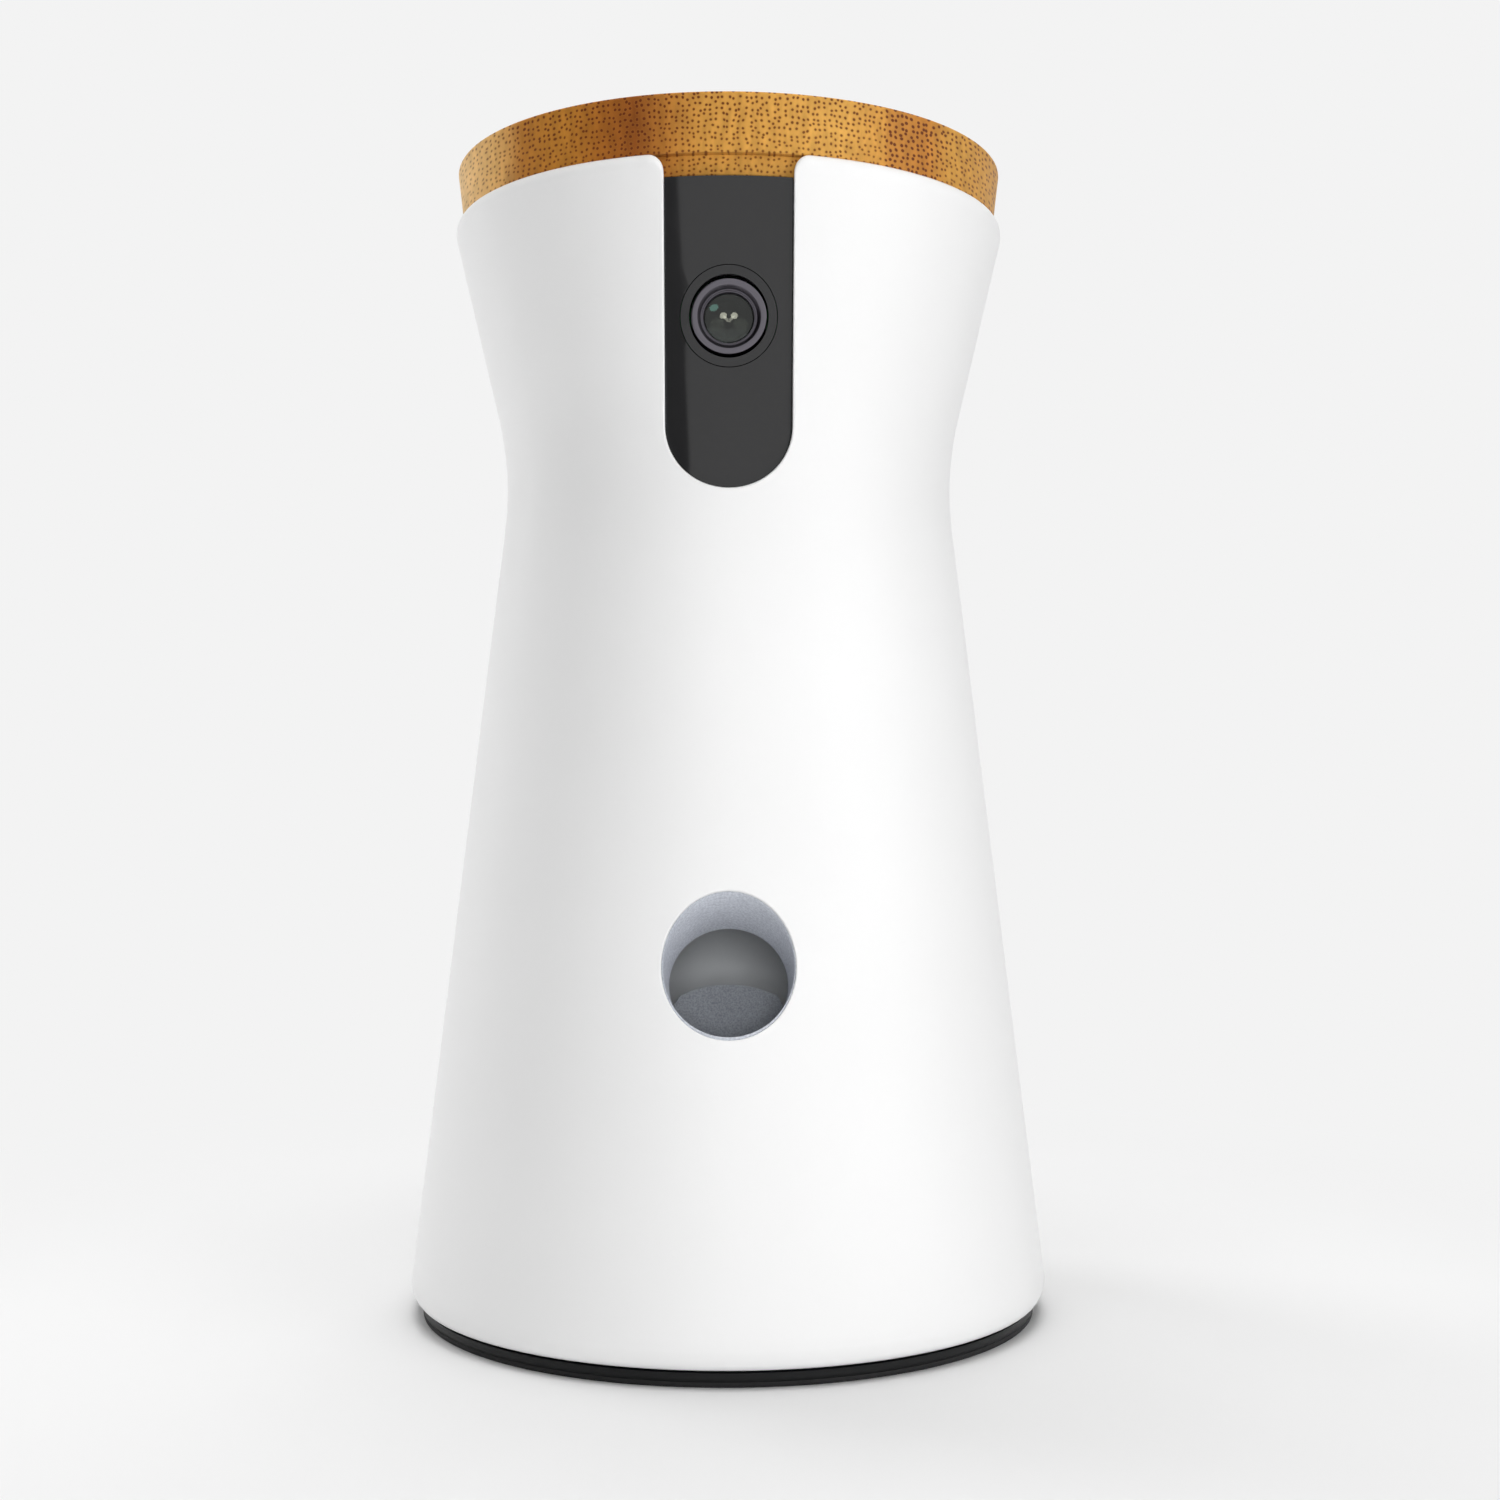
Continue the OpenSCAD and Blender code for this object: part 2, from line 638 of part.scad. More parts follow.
// A solid of revolution about the lens axis, its points given as [radius, distance to the front]
module about_lens(pts) {
    translate([0, 0, lens_z]) rotate([90, 0, 0]) rotate_extrude($fn = 64) polygon(pts);
}
module lens_barrel() {
    f = barrel_y;
    back = camera_board_y + 1.6;
    color("#6f6c72") about_lens([[3.6, back], [barrel_r, back], [barrel_r, f - 0.3],
        [barrel_r - 0.3, f], [5.6, f], [5.35, f - 1], [4.95, f - 1], [4.95, f - 4], [3.6, f - 4]]);
}
module front_lens() {
    f = barrel_y - 1.6;
    r = 4.9;
    dome = 7;
    back = f - 2.35;
    color([0.25, 0.3, 0.35, 0.6]) about_lens(concat([[0, back], [r, back]],
        [for (i = [0:8]) let (x = r * (1 - i / 8)) [x, f - (dome - sqrt(dome * dome - x * x))]]));
}
module rear_lens() {
    f = camera_board_y + 10;
    r = 3.5;
    dome = 8;
    color([0.3, 0.35, 0.4, 0.6]) about_lens(concat([[0, f - 2], [r, f - 2]],
        [for (i = [0:6]) let (x = r * (1 - i / 6)) [x, f - (dome - sqrt(dome * dome - x * x))]]));
}
camera_posts = [[8, 162.5], [8, 192.6]];
module camera_board() {
    color("#1d3d2f") difference() {
        block(-10.5, 10.5, -camera_board_y - 1.6, -camera_board_y, 160, 195.2);
        mirrored_x() for (p = camera_posts) rod_y(-30, -20, p[0], p[1], thin_clear_r, $fn = 24);
    }
}
module image_sensor() {
    color("#22252b") block(-2.5, 2.5, -camera_board_y - 2.8, -camera_board_y - 1.6,
        lens_z - 2.4, lens_z + 2.4);
}
module camera_screws() {
    color("silver") mirrored_x() for (p = camera_posts)
        translate([p[0], -camera_board_y - 1.6, p[1]]) rotate([90, 0, 0]) screw(0.8, 4);
}

// Infrared lamps for the dark, with round noses, and the microphone, on the camera board
module infrared_leds() {
    y0 = -camera_board_y - 1.6;
    color("#2c2430") for (x = [-4.5, 4.5], z = [167, 173.4]) {
        rod_y(y0 - 2.6, y0, x, z, 1.5);
        translate([x, y0 - 2.6, z]) sphere(r = 1.5, $fn = 24);
    }
}
module microphone() {
    y0 = -camera_board_y - 1.6;
    color("#c4b36a") block(-1.9, 1.9, y0 - 1.1, y0, 161.2, 164.2);
}

// ---- Boards and speaker ----
module main_board() {
    color("#1f5b3a") difference() {
        block(-20, 20, 34, 35.6, 58, 97);
        mirrored_x() for (z = [62, 94]) rod_y(30, 40, 17, z, 1, $fn = 24);
    }
}
module board_parts() {
    color("#3b3d40") {
        block(-12, 4, 31.6, 34, 76, 92);
        block(7, 15, 32.8, 34, 80, 88);
        block(-14, -6, 32.4, 34, 64, 71);
        for (x = [0, 6, 12]) rod_y(29.5, 34, x, 66, 2.4);
        block(-4, 10, 29, 34, 58.5, 62);
    }
}
module wifi_antenna() {
    color("#b9772f") block(24.2, 25, 28, 38.2, 70, 102);
}
speaker_y = 49;
module about_speaker(pts) {
    translate([0, 0, grille_z]) rotate([-90, 0, 0]) rotate_extrude($fn = 64) polygon(pts);
}
module speaker_frame() {
    color("#2b2b2d") {
        about_speaker([[11, 40], [13, 40], [16.5, speaker_y - 1], [17.2, speaker_y - 1],
            [17.2, speaker_y + 1.2], [15.4, speaker_y + 1.2], [15.4, speaker_y], [11, 41.4]]);
        mirrored_x() difference() {
            block(14.5, 20.4, speaker_y, speaker_y + 1.2, grille_z - 3, grille_z + 3);
            rod_y(40, 55, speaker_ear, grille_z, thin_clear_r, $fn = 24);
            rod_y(40, 55, 0, grille_z, 16.5);
        }
    }
}
module speaker_cone() {
    color("#4a4a4d") about_speaker([[0, 45.6], [4, 44.6], [5, 43.2], [11, 46], [15.3, speaker_y + 0.1],
        [15.3, speaker_y + 0.9], [13, speaker_y + 0.9], [11, 46.7], [5, 44], [4, 45.4], [0, 46.4]]);
}
module speaker_magnet() {
    color("#9b9da0") about_speaker([[0, 33], [11.6, 33], [12.4, 34], [12.4, 40], [0, 40]]);
}

// ---- Hopper and feed ----
hop_off = 4.4;
hop_t = 1.6;
well_r = 27.5;
floor_z = 128;
floor_top = 130;
disc_top = 141.5;
front_y = -21.5;
shelf_z = 195.6;
mouth_z = 203;
mouth_top = 205;
mouth_r = 48.8;
ledge_z = 200.8;
ledge_r = 43.1;
lug_half_a = 10;
notch_half_a = 13;
lock_as = [60, 180, 300];

// Space of the hopper at the offset off: a round well that opens as a funnel into a cup, which
// follows the body wall, with a flat front behind the camera
module hopper_form(off, extra, z0, top, front, shelf) {
    post(0, well_y, z0, 142, well_r + extra);
    difference() {
        intersection() {
            wall_core(141, top, off);
            translate([0, well_y, 141]) cylinder(h = 24, r1 = well_r + extra, r2 = well_r + extra + 24);
        }
        block(-70, 70, -80, front, 130, shelf);
    }
    difference() {
        wall_core(165, top, off);
        block(-70, 70, -80, front, 130, shelf);
    }
}
module hopper() {
    color("#efefec") difference() {
        union() {
            hopper_form(hop_off, hop_t, floor_z, mouth_top, front_y, shelf_z);
            translate([0, 0, mouth_z]) cylinder(h = mouth_top - mouth_z, r = mouth_r, $fn = 96);
            for (p = hopper_feet) post(p[0], p[1], chassis_top, floor_z + 1, 3.4);
            mirrored_x() for (p = camera_posts) rod_y(-camera_board_y, front_y + 0.5, p[0], p[1], 2.4);
        }
        difference() {
            hopper_form(hop_off + hop_t, 0, floor_top, mouth_top + 1, front_y + hop_t, shelf_z + hop_t);
            ring(ledge_z, mouth_top + 2, ledge_r, 60);
        }
        around(lock_as, 0) rotate([0, 0, -notch_half_a]) rotate_extrude(angle = 2 * notch_half_a, $fn = 96)
            polygon([[30, ledge_z - 1], [45.2, ledge_z - 1], [45.2, mouth_top + 1], [30, mouth_top + 1]]);
        post(0, drop_y, 120, 135, outlet_r);
        post(0, well_y, 120, 135, 4 + run);
        for (p = hopper_feet) post(p[0], p[1], 110, 126, pilot_r);
        mirrored_x() for (p = camera_posts) rod_y(-30, front_y + 1, p[0], p[1], thin_pilot_r, $fn = 24);
    }
}

// Roof over the outlet, so that only the treats in one pocket can fall
module hopper_baffle() {
    color("#d8d8d4") intersection() {
        union() {
            translate([0, well_y, 142.4]) rotate([0, 0, 244]) rotate_extrude(angle = 52, $fn = 96)
                polygon([[11.5, 0], [29, 0], [29, 1.8], [11.5, 1.8]]);
            block(-8, 8, front_y + hop_t, front_y + hop_t + 1.8, 142.4, 156);
        }
        translate([0, well_y, 141]) cylinder(h = 24, r1 = well_r - gap, r2 = well_r - gap + 24);
        block(-20, 20, front_y + hop_t, 5, 140, 160);
    }
}

// Disc with open pockets that carries treats round to the outlet, and a cone that stirs them
module feed_disc() {
    color("#e2e2de") difference() {
        union() {
            post(0, well_y, floor_top + 0.4, disc_top, well_r - 0.4);
            translate([0, well_y, disc_top - 0.5]) cylinder(h = 9, r1 = 10, r2 = 3);
            translate([0, well_y, disc_top]) for (i = [0:2]) rotate([0, 0, i * 120 + 30])
                block(0, 9, -0.9, 0.9, -0.5, 6);
        }
        for (i = [0:pockets - 1]) translate([0, well_y, 0]) rotate([0, 0, 270 + i * 360 / pockets])
            post(well_y - drop_y, 0, 120, 150, pocket_d / 2);
        post(0, well_y, 120, 139, 3 + run);
    }
}
module feed_gear() {
    color("#d9d4c6") {
        translate([0, well_y, 121.8]) linear_extrude(4.6) gear_outline(feed_teeth, gear_mod, 90);
        post(0, well_y, 126, floor_top + 0.3, 4);
        post(0, well_y, 130, 138.5, 3);
    }
}
module feed_pinion() {
    color("#d9d4c6") translate([0, feed_y, 122]) difference() {
        linear_extrude(4.2) gear_outline(feed_pin_teeth, gear_mod, 15);
        translate([0, 0, -1]) cylinder(h = 7, r = 2.5);
    }
}
module feed_shaft() {
    color("#bfc1c3") post(0, feed_y, chassis_z - 5, 126.2, 2.5);
}

// Tube that drops the treats from the hopper onto the arm
module drop_tube() {
    color("#e6e6e2") difference() {
        union() {
            post(0, drop_y, 80.2, floor_z, 9);
            block(-14, 14, drop_y - 3, drop_y + 3, chassis_top, chassis_top + 1.8);
        }
        post(0, drop_y, 70, 140, outlet_r);
        for (x = [-12, 12]) post(x, drop_y, 110, 130, thin_clear_r);
    }
}

// ---- Tossing works ----
// Round chute behind the mouth, cut to the inside of the body wall, with two tabs to stand on
chute_end = 11.2;
chute_wall = 1.2;
chute_step = 0.35;
module launch_chute() {
    color("#c4c8ce") difference() {
        union() {
            intersection() {
                wall_core(40, 100, wall + gap);
                chute_frame() translate([0, 0, -12]) cylinder(h = chute_end + 12, r = chute_r + chute_wall);
            }
            mirrored_x() block(10.5, 15.5, -45.5, -38.5, 62, 64);
        }
        chute_frame() translate([0, 0, -13]) cylinder(h = 30, r = chute_r - chute_step);
    }
}

// Two side plates round the arm, joined by a curved back that leads treats down onto the paddle
sweep_r = arm_len + 1.6;
module toss_chamber() {
    ramp_a = 32;
    back_in = concat([[-1, 80]], arc_pts(arm_y, arm_z, sweep_r, ramp_a, -8, 8));
    back_out = concat([[1, 80]], arc_pts(arm_y, arm_z, sweep_r + 1.8, ramp_a, -8, 8));
    color("#dcdcd8") difference() {
        union() {
            mirrored_x() {
                along_x(13.5, 15.5) polygon([[-46, deck_top], [-46, 62], [-38, 62], [-34, 66], [-34, 80],
                    [1, 80], [-5, 56], [-3, 40], [-3, deck_top]]);
                for (p = chamber_feet) block(15, 21.4, p[1] - 3, p[1] + 3, deck_top, deck_top + 2);
            }
            along_x(-14, 14) polygon(concat(back_in, reversed(back_out)));
        }
        rod_x(-20, 20, arm_y, arm_z, 2 + run);
        rod_x(5, 20, drive_y, drive_z, 1.5);
        rod_x(10, 20, motor_y, drive_z, 3.4);
        mirrored_x() for (p = chamber_feet) post(p[0], p[1], 10, 30, clear_r);
        along_x(-20, -10) polygon([[-30, 26], [-12, 26], [-12, 40], [-30, 40]]);
    }
}

// Rubber pads on the side plates that the paddle strikes at the end of a toss
module arm_frame() {
    translate([0, arm_y, arm_z]) rotate([-arm_lean, 0, 0]) children();
}
module arm_bumpers() {
    color("#29292b") arm_frame() mirrored_x() block(8.4, 13.5, -4, -1.05, 14.5, 19.5);
}

// Arm that tosses the treats: a hub on the axle, a scooped paddle with a rounded tip, and a rib
module toss_arm() {
    tip_r = 20;
    hw = paddle_w / 2;
    side_z = arm_len - (tip_r - sqrt(tip_r * tip_r - hw * hw));
    tip_a = asin((hw - 1.6) / tip_r);
    tip = arc_pts(0, arm_len - tip_r, tip_r, 90 - tip_a, 90 + tip_a, 14);
    color("#4e5257") arm_frame() difference() {
        union() {
            rod_x(-12.6, 12.6, 0, 0, 4.6);
            along_y(-1, 1) polygon(concat([[-6, 2], [6, 2], [hw, 9], [hw, side_z - 1.9]], tip,
                [[-hw, side_z - 1.9], [-hw, 9]]));
            mirrored_x() along_x(hw - 1.4, hw)
                polygon([[0, 21], [-2.2, 23.5], [-2.2, side_z - 3], [0, side_z - 1.9]]);
            along_x(-1, 1) polygon([[0, 3], [4, 3], [3.2, 20], [1, 25], [0, 25]]);
        }
        rod_x(-20, 20, 0, 0, 2);
    }
}
module arm_axle() {
    color("#c2c4c6") rod_x(-20.5, 19.6, arm_y, arm_z, 2);
}

// Toothed sector on the axle's end. Its teeth run a little past the mesh at each end, and stay
// clear of the deck
sector_a0 = drive_a - 13;
sector_a1 = drive_a + arm_travel + 18;
module arm_gear() {
    color("#d9d4c6") translate([0, arm_y, arm_z]) difference() {
        along_x(16.2, 19.4) union() {
            intersection() {
                gear_outline(arm_teeth, gear_mod, drive_a);
                polygon(concat([[0, 0]], arc_pts(0, 0, 20, sector_a0, sector_a1, 12)));
            }
            circle(r = 5);
        }
        rod_x(10, 30, 0, 0, 2);
        along_x(10, 30) polygon(concat(arc_pts(0, 0, 12.2, sector_a0 + 14, sector_a1 - 14, 8),
            arc_pts(0, 0, 7.2, sector_a1 - 20, sector_a0 + 20, 6)));
    }
}

// Sprung wire coil round the axle, with one leg on the side plate and one on the axle's arm
module toss_spring() {
    x0 = -19.8;
    wire = 0.8;
    pitch = 0.95;
    coil_r = 4.2;
    color("#a9abae") {
        for (i = [0:3]) translate([x0 + i * pitch, arm_y, arm_z]) rotate([0, 90, 0])
            difference() {
                cylinder(h = pitch, r = coil_r);
                translate([0, 0, -1]) cylinder(h = wire + 3, r = coil_r - wire);
            }
        block(x0 + 2.9, x0 + 2.9 + wire, arm_y - 3.8, arm_y - 3.1, arm_z, arm_z + 11);
        block(x0, x0 + wire, arm_y + 3.1, arm_y + 3.8, arm_z, arm_z + 9);
    }
}

// Drive gear on a fixed pin. Its coarse teeth stop partway round, so that the arm is let go
module toss_drive_gear() {
    mesh_a = drive_a + 180;
    color("#d9d4c6") translate([0, drive_y, drive_z]) difference() {
        union() {
            along_x(16.2, 19.4) gear_outline(drive_teeth, gear_mod, mesh_a + 9 - 180,
                mesh_a - 2 * arm_travel - 16, mesh_a + 12);
            along_x(19.3, 20) circle(r = 5);
            along_x(19.9, 22.9) gear_outline(big_teeth, fine_mod, 0);
        }
        rod_x(10, 30, 0, 0, 1.5 + run);
    }
}
module gear_pin() {
    color("#bfc1c3") union() {
        rod_x(13.6, 23.2, drive_y, drive_z, 1.5);
        rod_x(23.1, 23.9, drive_y, drive_z, 2.4);
    }
}
module toss_pinion() {
    color("#c9a24a") translate([0, motor_y, drive_z]) union() {
        along_x(19.7, 23.1) gear_outline(toss_teeth, fine_mod, 15);
        rod_x(23, 31, 0, 0, 1);
    }
}

// Pinion that rolls in the ring gear and turns the whole body, on the motor's shaft
module pan_pinion() {
    color("#d9d4c6") translate([pan_x, pan_y, 12]) difference() {
        linear_extrude(4.4) gear_outline(pan_teeth, gear_mod, pan_a);
        translate([0, 0, -1]) cylinder(h = 8, r = 2.5);
    }
}
module pan_shaft() {
    color("#bfc1c3") post(pan_x, pan_y, 12, deck_top + 5, 2.5);
}

// ---- Lid ----
plug_r = 50.7;
plug_z = 207.8;
lid_low_r = 52.4;
lid_top_r = 53.5;
lid_edge = 0.5;
lid_play = 0.05;
lug_r = 44.6;
lock_out_r = 42.8;
lid_screw_as = [0, 90, 180, 270];
lid_screw_r = 35;

// Thick wooden disc with a step that drops inside the body's rim
module lid_disc() {
    z0 = rim_z + lid_play;
    color("#d7a35c") difference() {
        rotate_extrude($fn = 128)
            polygon(concat([[0, plug_z], [plug_r - 0.4, plug_z], [plug_r, plug_z + 0.4], [plug_r, z0],
                [lid_low_r - 0.2, z0], [lid_low_r, z0 + 0.2]],
                arc_pts(lid_top_r - lid_edge, total_h - lid_edge, lid_edge, 0, 90, 4), [[0, total_h]]));
        around(lid_screw_as, lid_screw_r) translate([0, 0, 200]) cylinder(h = 14, r = pilot_r, $fn = 24);
    }
}

// Ring under the lid with three lugs that lock below the hopper's ledge
module lid_lock_ring() {
    color("#e6e6e2") difference() {
        union() {
            ring(plug_z - 2, plug_z, 30, lock_out_r);
            ring(197.8, plug_z - 1, 40.8, lock_out_r);
            around(lock_as, 0) rotate([0, 0, -lug_half_a]) rotate_extrude(angle = 2 * lug_half_a, $fn = 96)
                polygon([[42, 197.8], [lug_r, 197.8], [lug_r, 200.4], [42, 200.4]]);
        }
        around(lid_screw_as, lid_screw_r) translate([0, 0, 200]) cylinder(h = 10, r = clear_r, $fn = 24);
    }
}
module lid_screws() {
    color("silver") around(lid_screw_as, lid_screw_r) translate([0, 0, plug_z - 2])
        mirror([0, 0, 1]) screw(1, 6.5);
}

// Soft ring between the hopper's mouth and the lid, which keeps the treats fresh
module lid_seal() {
    z1 = plug_z - lid_play;
    color("#cfcfca") rotate_extrude($fn = 96)
        polygon([[45.6, mouth_top], [48.6, mouth_top], [48.6, z1 - 0.6], [48, z1], [47.6, z1],
            [47.3, z1 - 0.8], [46.9, z1 - 0.8], [46.6, z1], [46.2, z1], [45.6, z1 - 0.6]]);
}

base_plate();
foot_ring();
ring_gear();
ring_screws();
lower_race();
hub_retainer();
hub_screws();
power_board();
power_socket();
ball_cage();
bearing_balls();
turntable();
upper_race();
outer_shell();
shell_screws();
chassis();
frame_screws();
main_board();
board_parts();
wifi_antenna();
camera_window();
lens_trim();
lens_barrel();
front_lens();
rear_lens();
camera_board();
image_sensor();
infrared_leds();
microphone();
camera_screws();
speaker_frame();
speaker_cone();
speaker_magnet();
hopper();
hopper_baffle();
drop_tube();
launch_chute();
toss_chamber();
arm_bumpers();
gear_pin();
toss_motor();
feed_motor();
pan_motor();
motor_screws();
pan_pinion();
pan_shaft();
feed_disc();
feed_gear();
feed_pinion();
feed_shaft();
toss_drive_gear();
toss_pinion();
toss_arm();
arm_axle();
arm_gear();
toss_spring();
lid_seal();
lid_disc();
lid_lock_ring();
lid_screws();
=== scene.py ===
"""Treat tossing pet camera: its finishes, its studio, and the pieces that need a finer mesh."""
import json
import math

import bmesh
import bpy
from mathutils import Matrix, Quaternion, Vector
from mathutils.geometry import delaunay_2d_cdt


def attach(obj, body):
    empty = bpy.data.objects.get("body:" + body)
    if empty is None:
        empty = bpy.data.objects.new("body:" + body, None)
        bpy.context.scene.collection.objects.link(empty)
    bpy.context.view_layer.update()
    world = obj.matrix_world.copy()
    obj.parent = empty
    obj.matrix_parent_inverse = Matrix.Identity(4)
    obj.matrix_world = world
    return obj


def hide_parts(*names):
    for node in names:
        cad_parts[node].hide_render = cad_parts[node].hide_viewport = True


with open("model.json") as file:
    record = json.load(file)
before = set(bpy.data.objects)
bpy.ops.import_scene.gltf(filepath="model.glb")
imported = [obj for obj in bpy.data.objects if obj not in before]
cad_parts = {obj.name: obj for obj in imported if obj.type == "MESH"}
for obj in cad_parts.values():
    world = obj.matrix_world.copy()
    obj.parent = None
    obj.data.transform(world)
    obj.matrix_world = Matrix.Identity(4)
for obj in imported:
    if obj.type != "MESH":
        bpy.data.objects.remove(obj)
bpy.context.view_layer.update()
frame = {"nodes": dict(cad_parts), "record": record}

MM = 0.001
NODES = frame["nodes"]
SCENE = bpy.context.scene

# ---- Sizes, in millimetres ----
# The body's surface: a cone, a blend at the waist and a flare above it
CONE_FOOT_R, CONE_TAPER = 62.46, 0.1201
WAIST_Z, WAIST_BLEND_R, FLARE = 159.35, 62.4, 0.2365
LOW_A, UP_A = math.atan(CONE_TAPER), math.atan(FLARE)
BLEND_CR = (CONE_FOOT_R - CONE_TAPER * (WAIST_Z - WAIST_BLEND_R * math.sin(LOW_A))
            + WAIST_BLEND_R * math.cos(LOW_A))
WALL = 2.4

# The rim and how far down its lip is rounded; the lower edge, and its rounding's depth and height
RIM_Z, RIM_R, LIP_H = 211.6, 52.4, 2.8
SKIRT_Z, SKIRT_ROUND, SKIRT_TALL = 2.95, 2.2, 3.6

# The window's slot, the lens, the chute and the speaker holes
SLOT_HALF_W, SLOT_BOTTOM_Z, SLOT_MOUTH_R = 11.4, 154.3, 3.5
LENS_Z = 184.2
CHUTE_Z, CHUTE_R, CHUTE_TILT = 70.7, 11.65, math.radians(24)
GRILLE_Z, GRILLE_PITCH, GRILLE_R, GRILLE_ROWS, GRILLE_HOLE_R = 42.0, 3.4, 12.0, 4, 0.9

# How far the window lies below the body's surface, and the lens barrel below the window
WINDOW_RECESS, BARREL_SINK = 1.0, 0.15

# How much taller than round the chute's mouth and its sleeve are, at their top and bottom
EXACTLY_ROUND, MOUTH_TALLER, LINER_TALLER = (0.0, 0.0), (0.4, 0.75), (0.4, 0.4)

# Rounding of the moulded edges
EDGE_ROUND, HOLE_ROUND, GRILLE_ROUND = 0.4, 0.3, 0.2

# The mesh's fineness: cells, points round a hole, and steps in degrees round a rounded edge
CELL, SLOT_CELL = 2.3, 1.8
HOLE_POINTS, GRILLE_POINTS, LENS_POINTS = 72, 18, 96
CORNER_STEP, SLOT_STEP, SKIRT_STEP, PAD_STEP = 10, 6, 11, 2.5

# Edges turned by more than this stay sharp, and points closer than this, in metres, become one
SHARP = math.radians(40)
WELD = 2e-6


# ---- Small tools ----
def wall_r(z, off=0.0):
    """Radius of the body's surface at height z, moved inwards by off."""
    r = WAIST_BLEND_R + off
    z_low, z_up = WAIST_Z - r * math.sin(LOW_A), WAIST_Z + r * math.sin(UP_A)
    if z < z_low:
        return BLEND_CR - r * math.cos(LOW_A) + CONE_TAPER * (z_low - z)
    if z > z_up:
        return BLEND_CR - r * math.cos(UP_A) + FLARE * (z - z_up)
    return BLEND_CR - math.sqrt(r * r - (z - WAIST_Z) ** 2)


BARREL_Y = wall_r(LENS_Z, WINDOW_RECESS) - BARREL_SINK


def linear(hex_colour, alpha=1.0):
    """An sRGB hex colour as the linear values that the shaders take."""
    parts = [int(hex_colour[i:i + 2], 16) / 255 for i in (1, 3, 5)]
    return (*[p / 12.92 if p <= 0.04045 else ((p + 0.055) / 1.055) ** 2.4 for p in parts], alpha)


def add(tree, kind, feeds=None, **settings):
    """Adds a node with its settings. feeds gives each input a value, or a socket to link it to."""
    made = tree.nodes.new(kind)
    for key, value in settings.items():
        setattr(made, key, value)
    for key, value in (feeds or {}).items():
        if isinstance(value, bpy.types.NodeSocket):
            tree.links.new(value, made.inputs[key])
        else:
            made.inputs[key].default_value = value
    return made


def finish(name, colour, roughness, **sockets):
    """A material with a plain Principled surface, to which its own pattern is then added."""
    made = bpy.data.materials.new(name)
    made.use_nodes = True
    tree = made.node_tree
    shader = tree.nodes["Principled BSDF"]
    shader.inputs["Base Color"].default_value = linear(colour)
    shader.inputs["Roughness"].default_value = roughness
    for key, value in sockets.items():
        shader.inputs[key.replace("_", " ")].default_value = value
    return made, tree, shader


def on_piece(tree):
    """The point on the piece, in metres, which follows the piece as it moves."""
    return add(tree, "ShaderNodeTexCoord").outputs["Object"]


def per_mm(size_mm):
    """The texture scale, in cells to a metre, of a pattern whose cells are size_mm wide."""
    return 1 / (size_mm * MM)


def grain(tree, shader, size_mm, height_mm, varying, detail=2.0):
    """Moulded or blasted grain: bumps of that size and height, and a roughness that varies with
    them by so much about the surface's own. Returns the grain's pattern."""
    noise = add(tree, "ShaderNodeTexNoise",
                {"Vector": on_piece(tree), "Scale": per_mm(size_mm), "Detail": detail})
    bump = add(tree, "ShaderNodeBump",
               {"Height": noise.outputs["Fac"], "Distance": height_mm * MM, "Strength": 1.0})
    middle = shader.inputs["Roughness"].default_value
    varied = add(tree, "ShaderNodeMapRange",
                 {"Value": noise.outputs["Fac"], "To Min": middle - varying,
                  "To Max": middle + varying})
    tree.links.new(bump.outputs["Normal"], shader.inputs["Normal"])
    tree.links.new(varied.outputs["Result"], shader.inputs["Roughness"])
    return noise.outputs["Fac"]


def mottle(tree, shader, pattern, low, high):
    """Colours the surface from low to high, as the pattern goes from 0 to 1."""
    blend = add(tree, "ShaderNodeMix", {"Factor": pattern, "A": linear(low), "B": linear(high)},
                data_type="RGBA")
    tree.links.new(blend.outputs["Result"], shader.inputs["Base Color"])


# ---- Finishes ----
def satin_white_abs():
    """White ABS, moulded in a finely blasted tool: soft, even highlights and no visible pattern."""
    made, tree, shader = finish("satin_white_abs", "#f4f4f4", 0.34, IOR=1.52)
    grain(tree, shader, 0.35, 0.0016, 0.03)
    cloud = add(tree, "ShaderNodeTexNoise",
                {"Vector": on_piece(tree), "Scale": per_mm(38), "Detail": 1.0})
    mottle(tree, shader, cloud.outputs["Fac"], "#f2f2f2", "#f6f6f6")
    return made


def satin_black_abs():
    """Black ABS from a blasted tool: a dull sheen along the foot's rounded edge."""
    made, tree, shader = finish("satin_black_abs", "#101112", 0.46, IOR=1.46,
                                Specular_IOR_Level=0.3)
    grain(tree, shader, 0.3, 0.004, 0.06)
    return made


def matt_rubber(name, colour):
    """Moulded rubber: dark, matt and slightly mottled."""
    made, tree, shader = finish(name, colour, 0.75, IOR=1.5)
    grain(tree, shader, 0.5, 0.01, 0.08)
    return made


def natural_acetal():
    """Moulded acetal: creamy, slightly waxy, with faint flow marks."""
    made, tree, shader = finish("natural_acetal", "#d9d4c6", 0.38, IOR=1.48)
    flow = grain(tree, shader, 2.5, 0.01, 0.06)
    mottle(tree, shader, flow, "#d3cebf", "#dfdacd")
    return made


def zinc_plated_steel():
    """Zinc plated steel: bright and neutral, with fine drawn lines."""
    made, tree, shader = finish("zinc_plated_steel", "#b9bbbe", 0.3, Metallic=1.0)
    stretched = add(tree, "ShaderNodeMapping",
                    {"Vector": on_piece(tree), "Scale": (1.0, 1.0, 12.0)})
    noise = add(tree, "ShaderNodeTexNoise",
                {"Vector": stretched.outputs["Vector"], "Scale": per_mm(1.6), "Detail": 4.0})
    varied = add(tree, "ShaderNodeMapRange",
                 {"Value": noise.outputs["Fac"], "To Min": 0.22, "To Max": 0.4})
    tree.links.new(varied.outputs["Result"], shader.inputs["Roughness"])
    return made


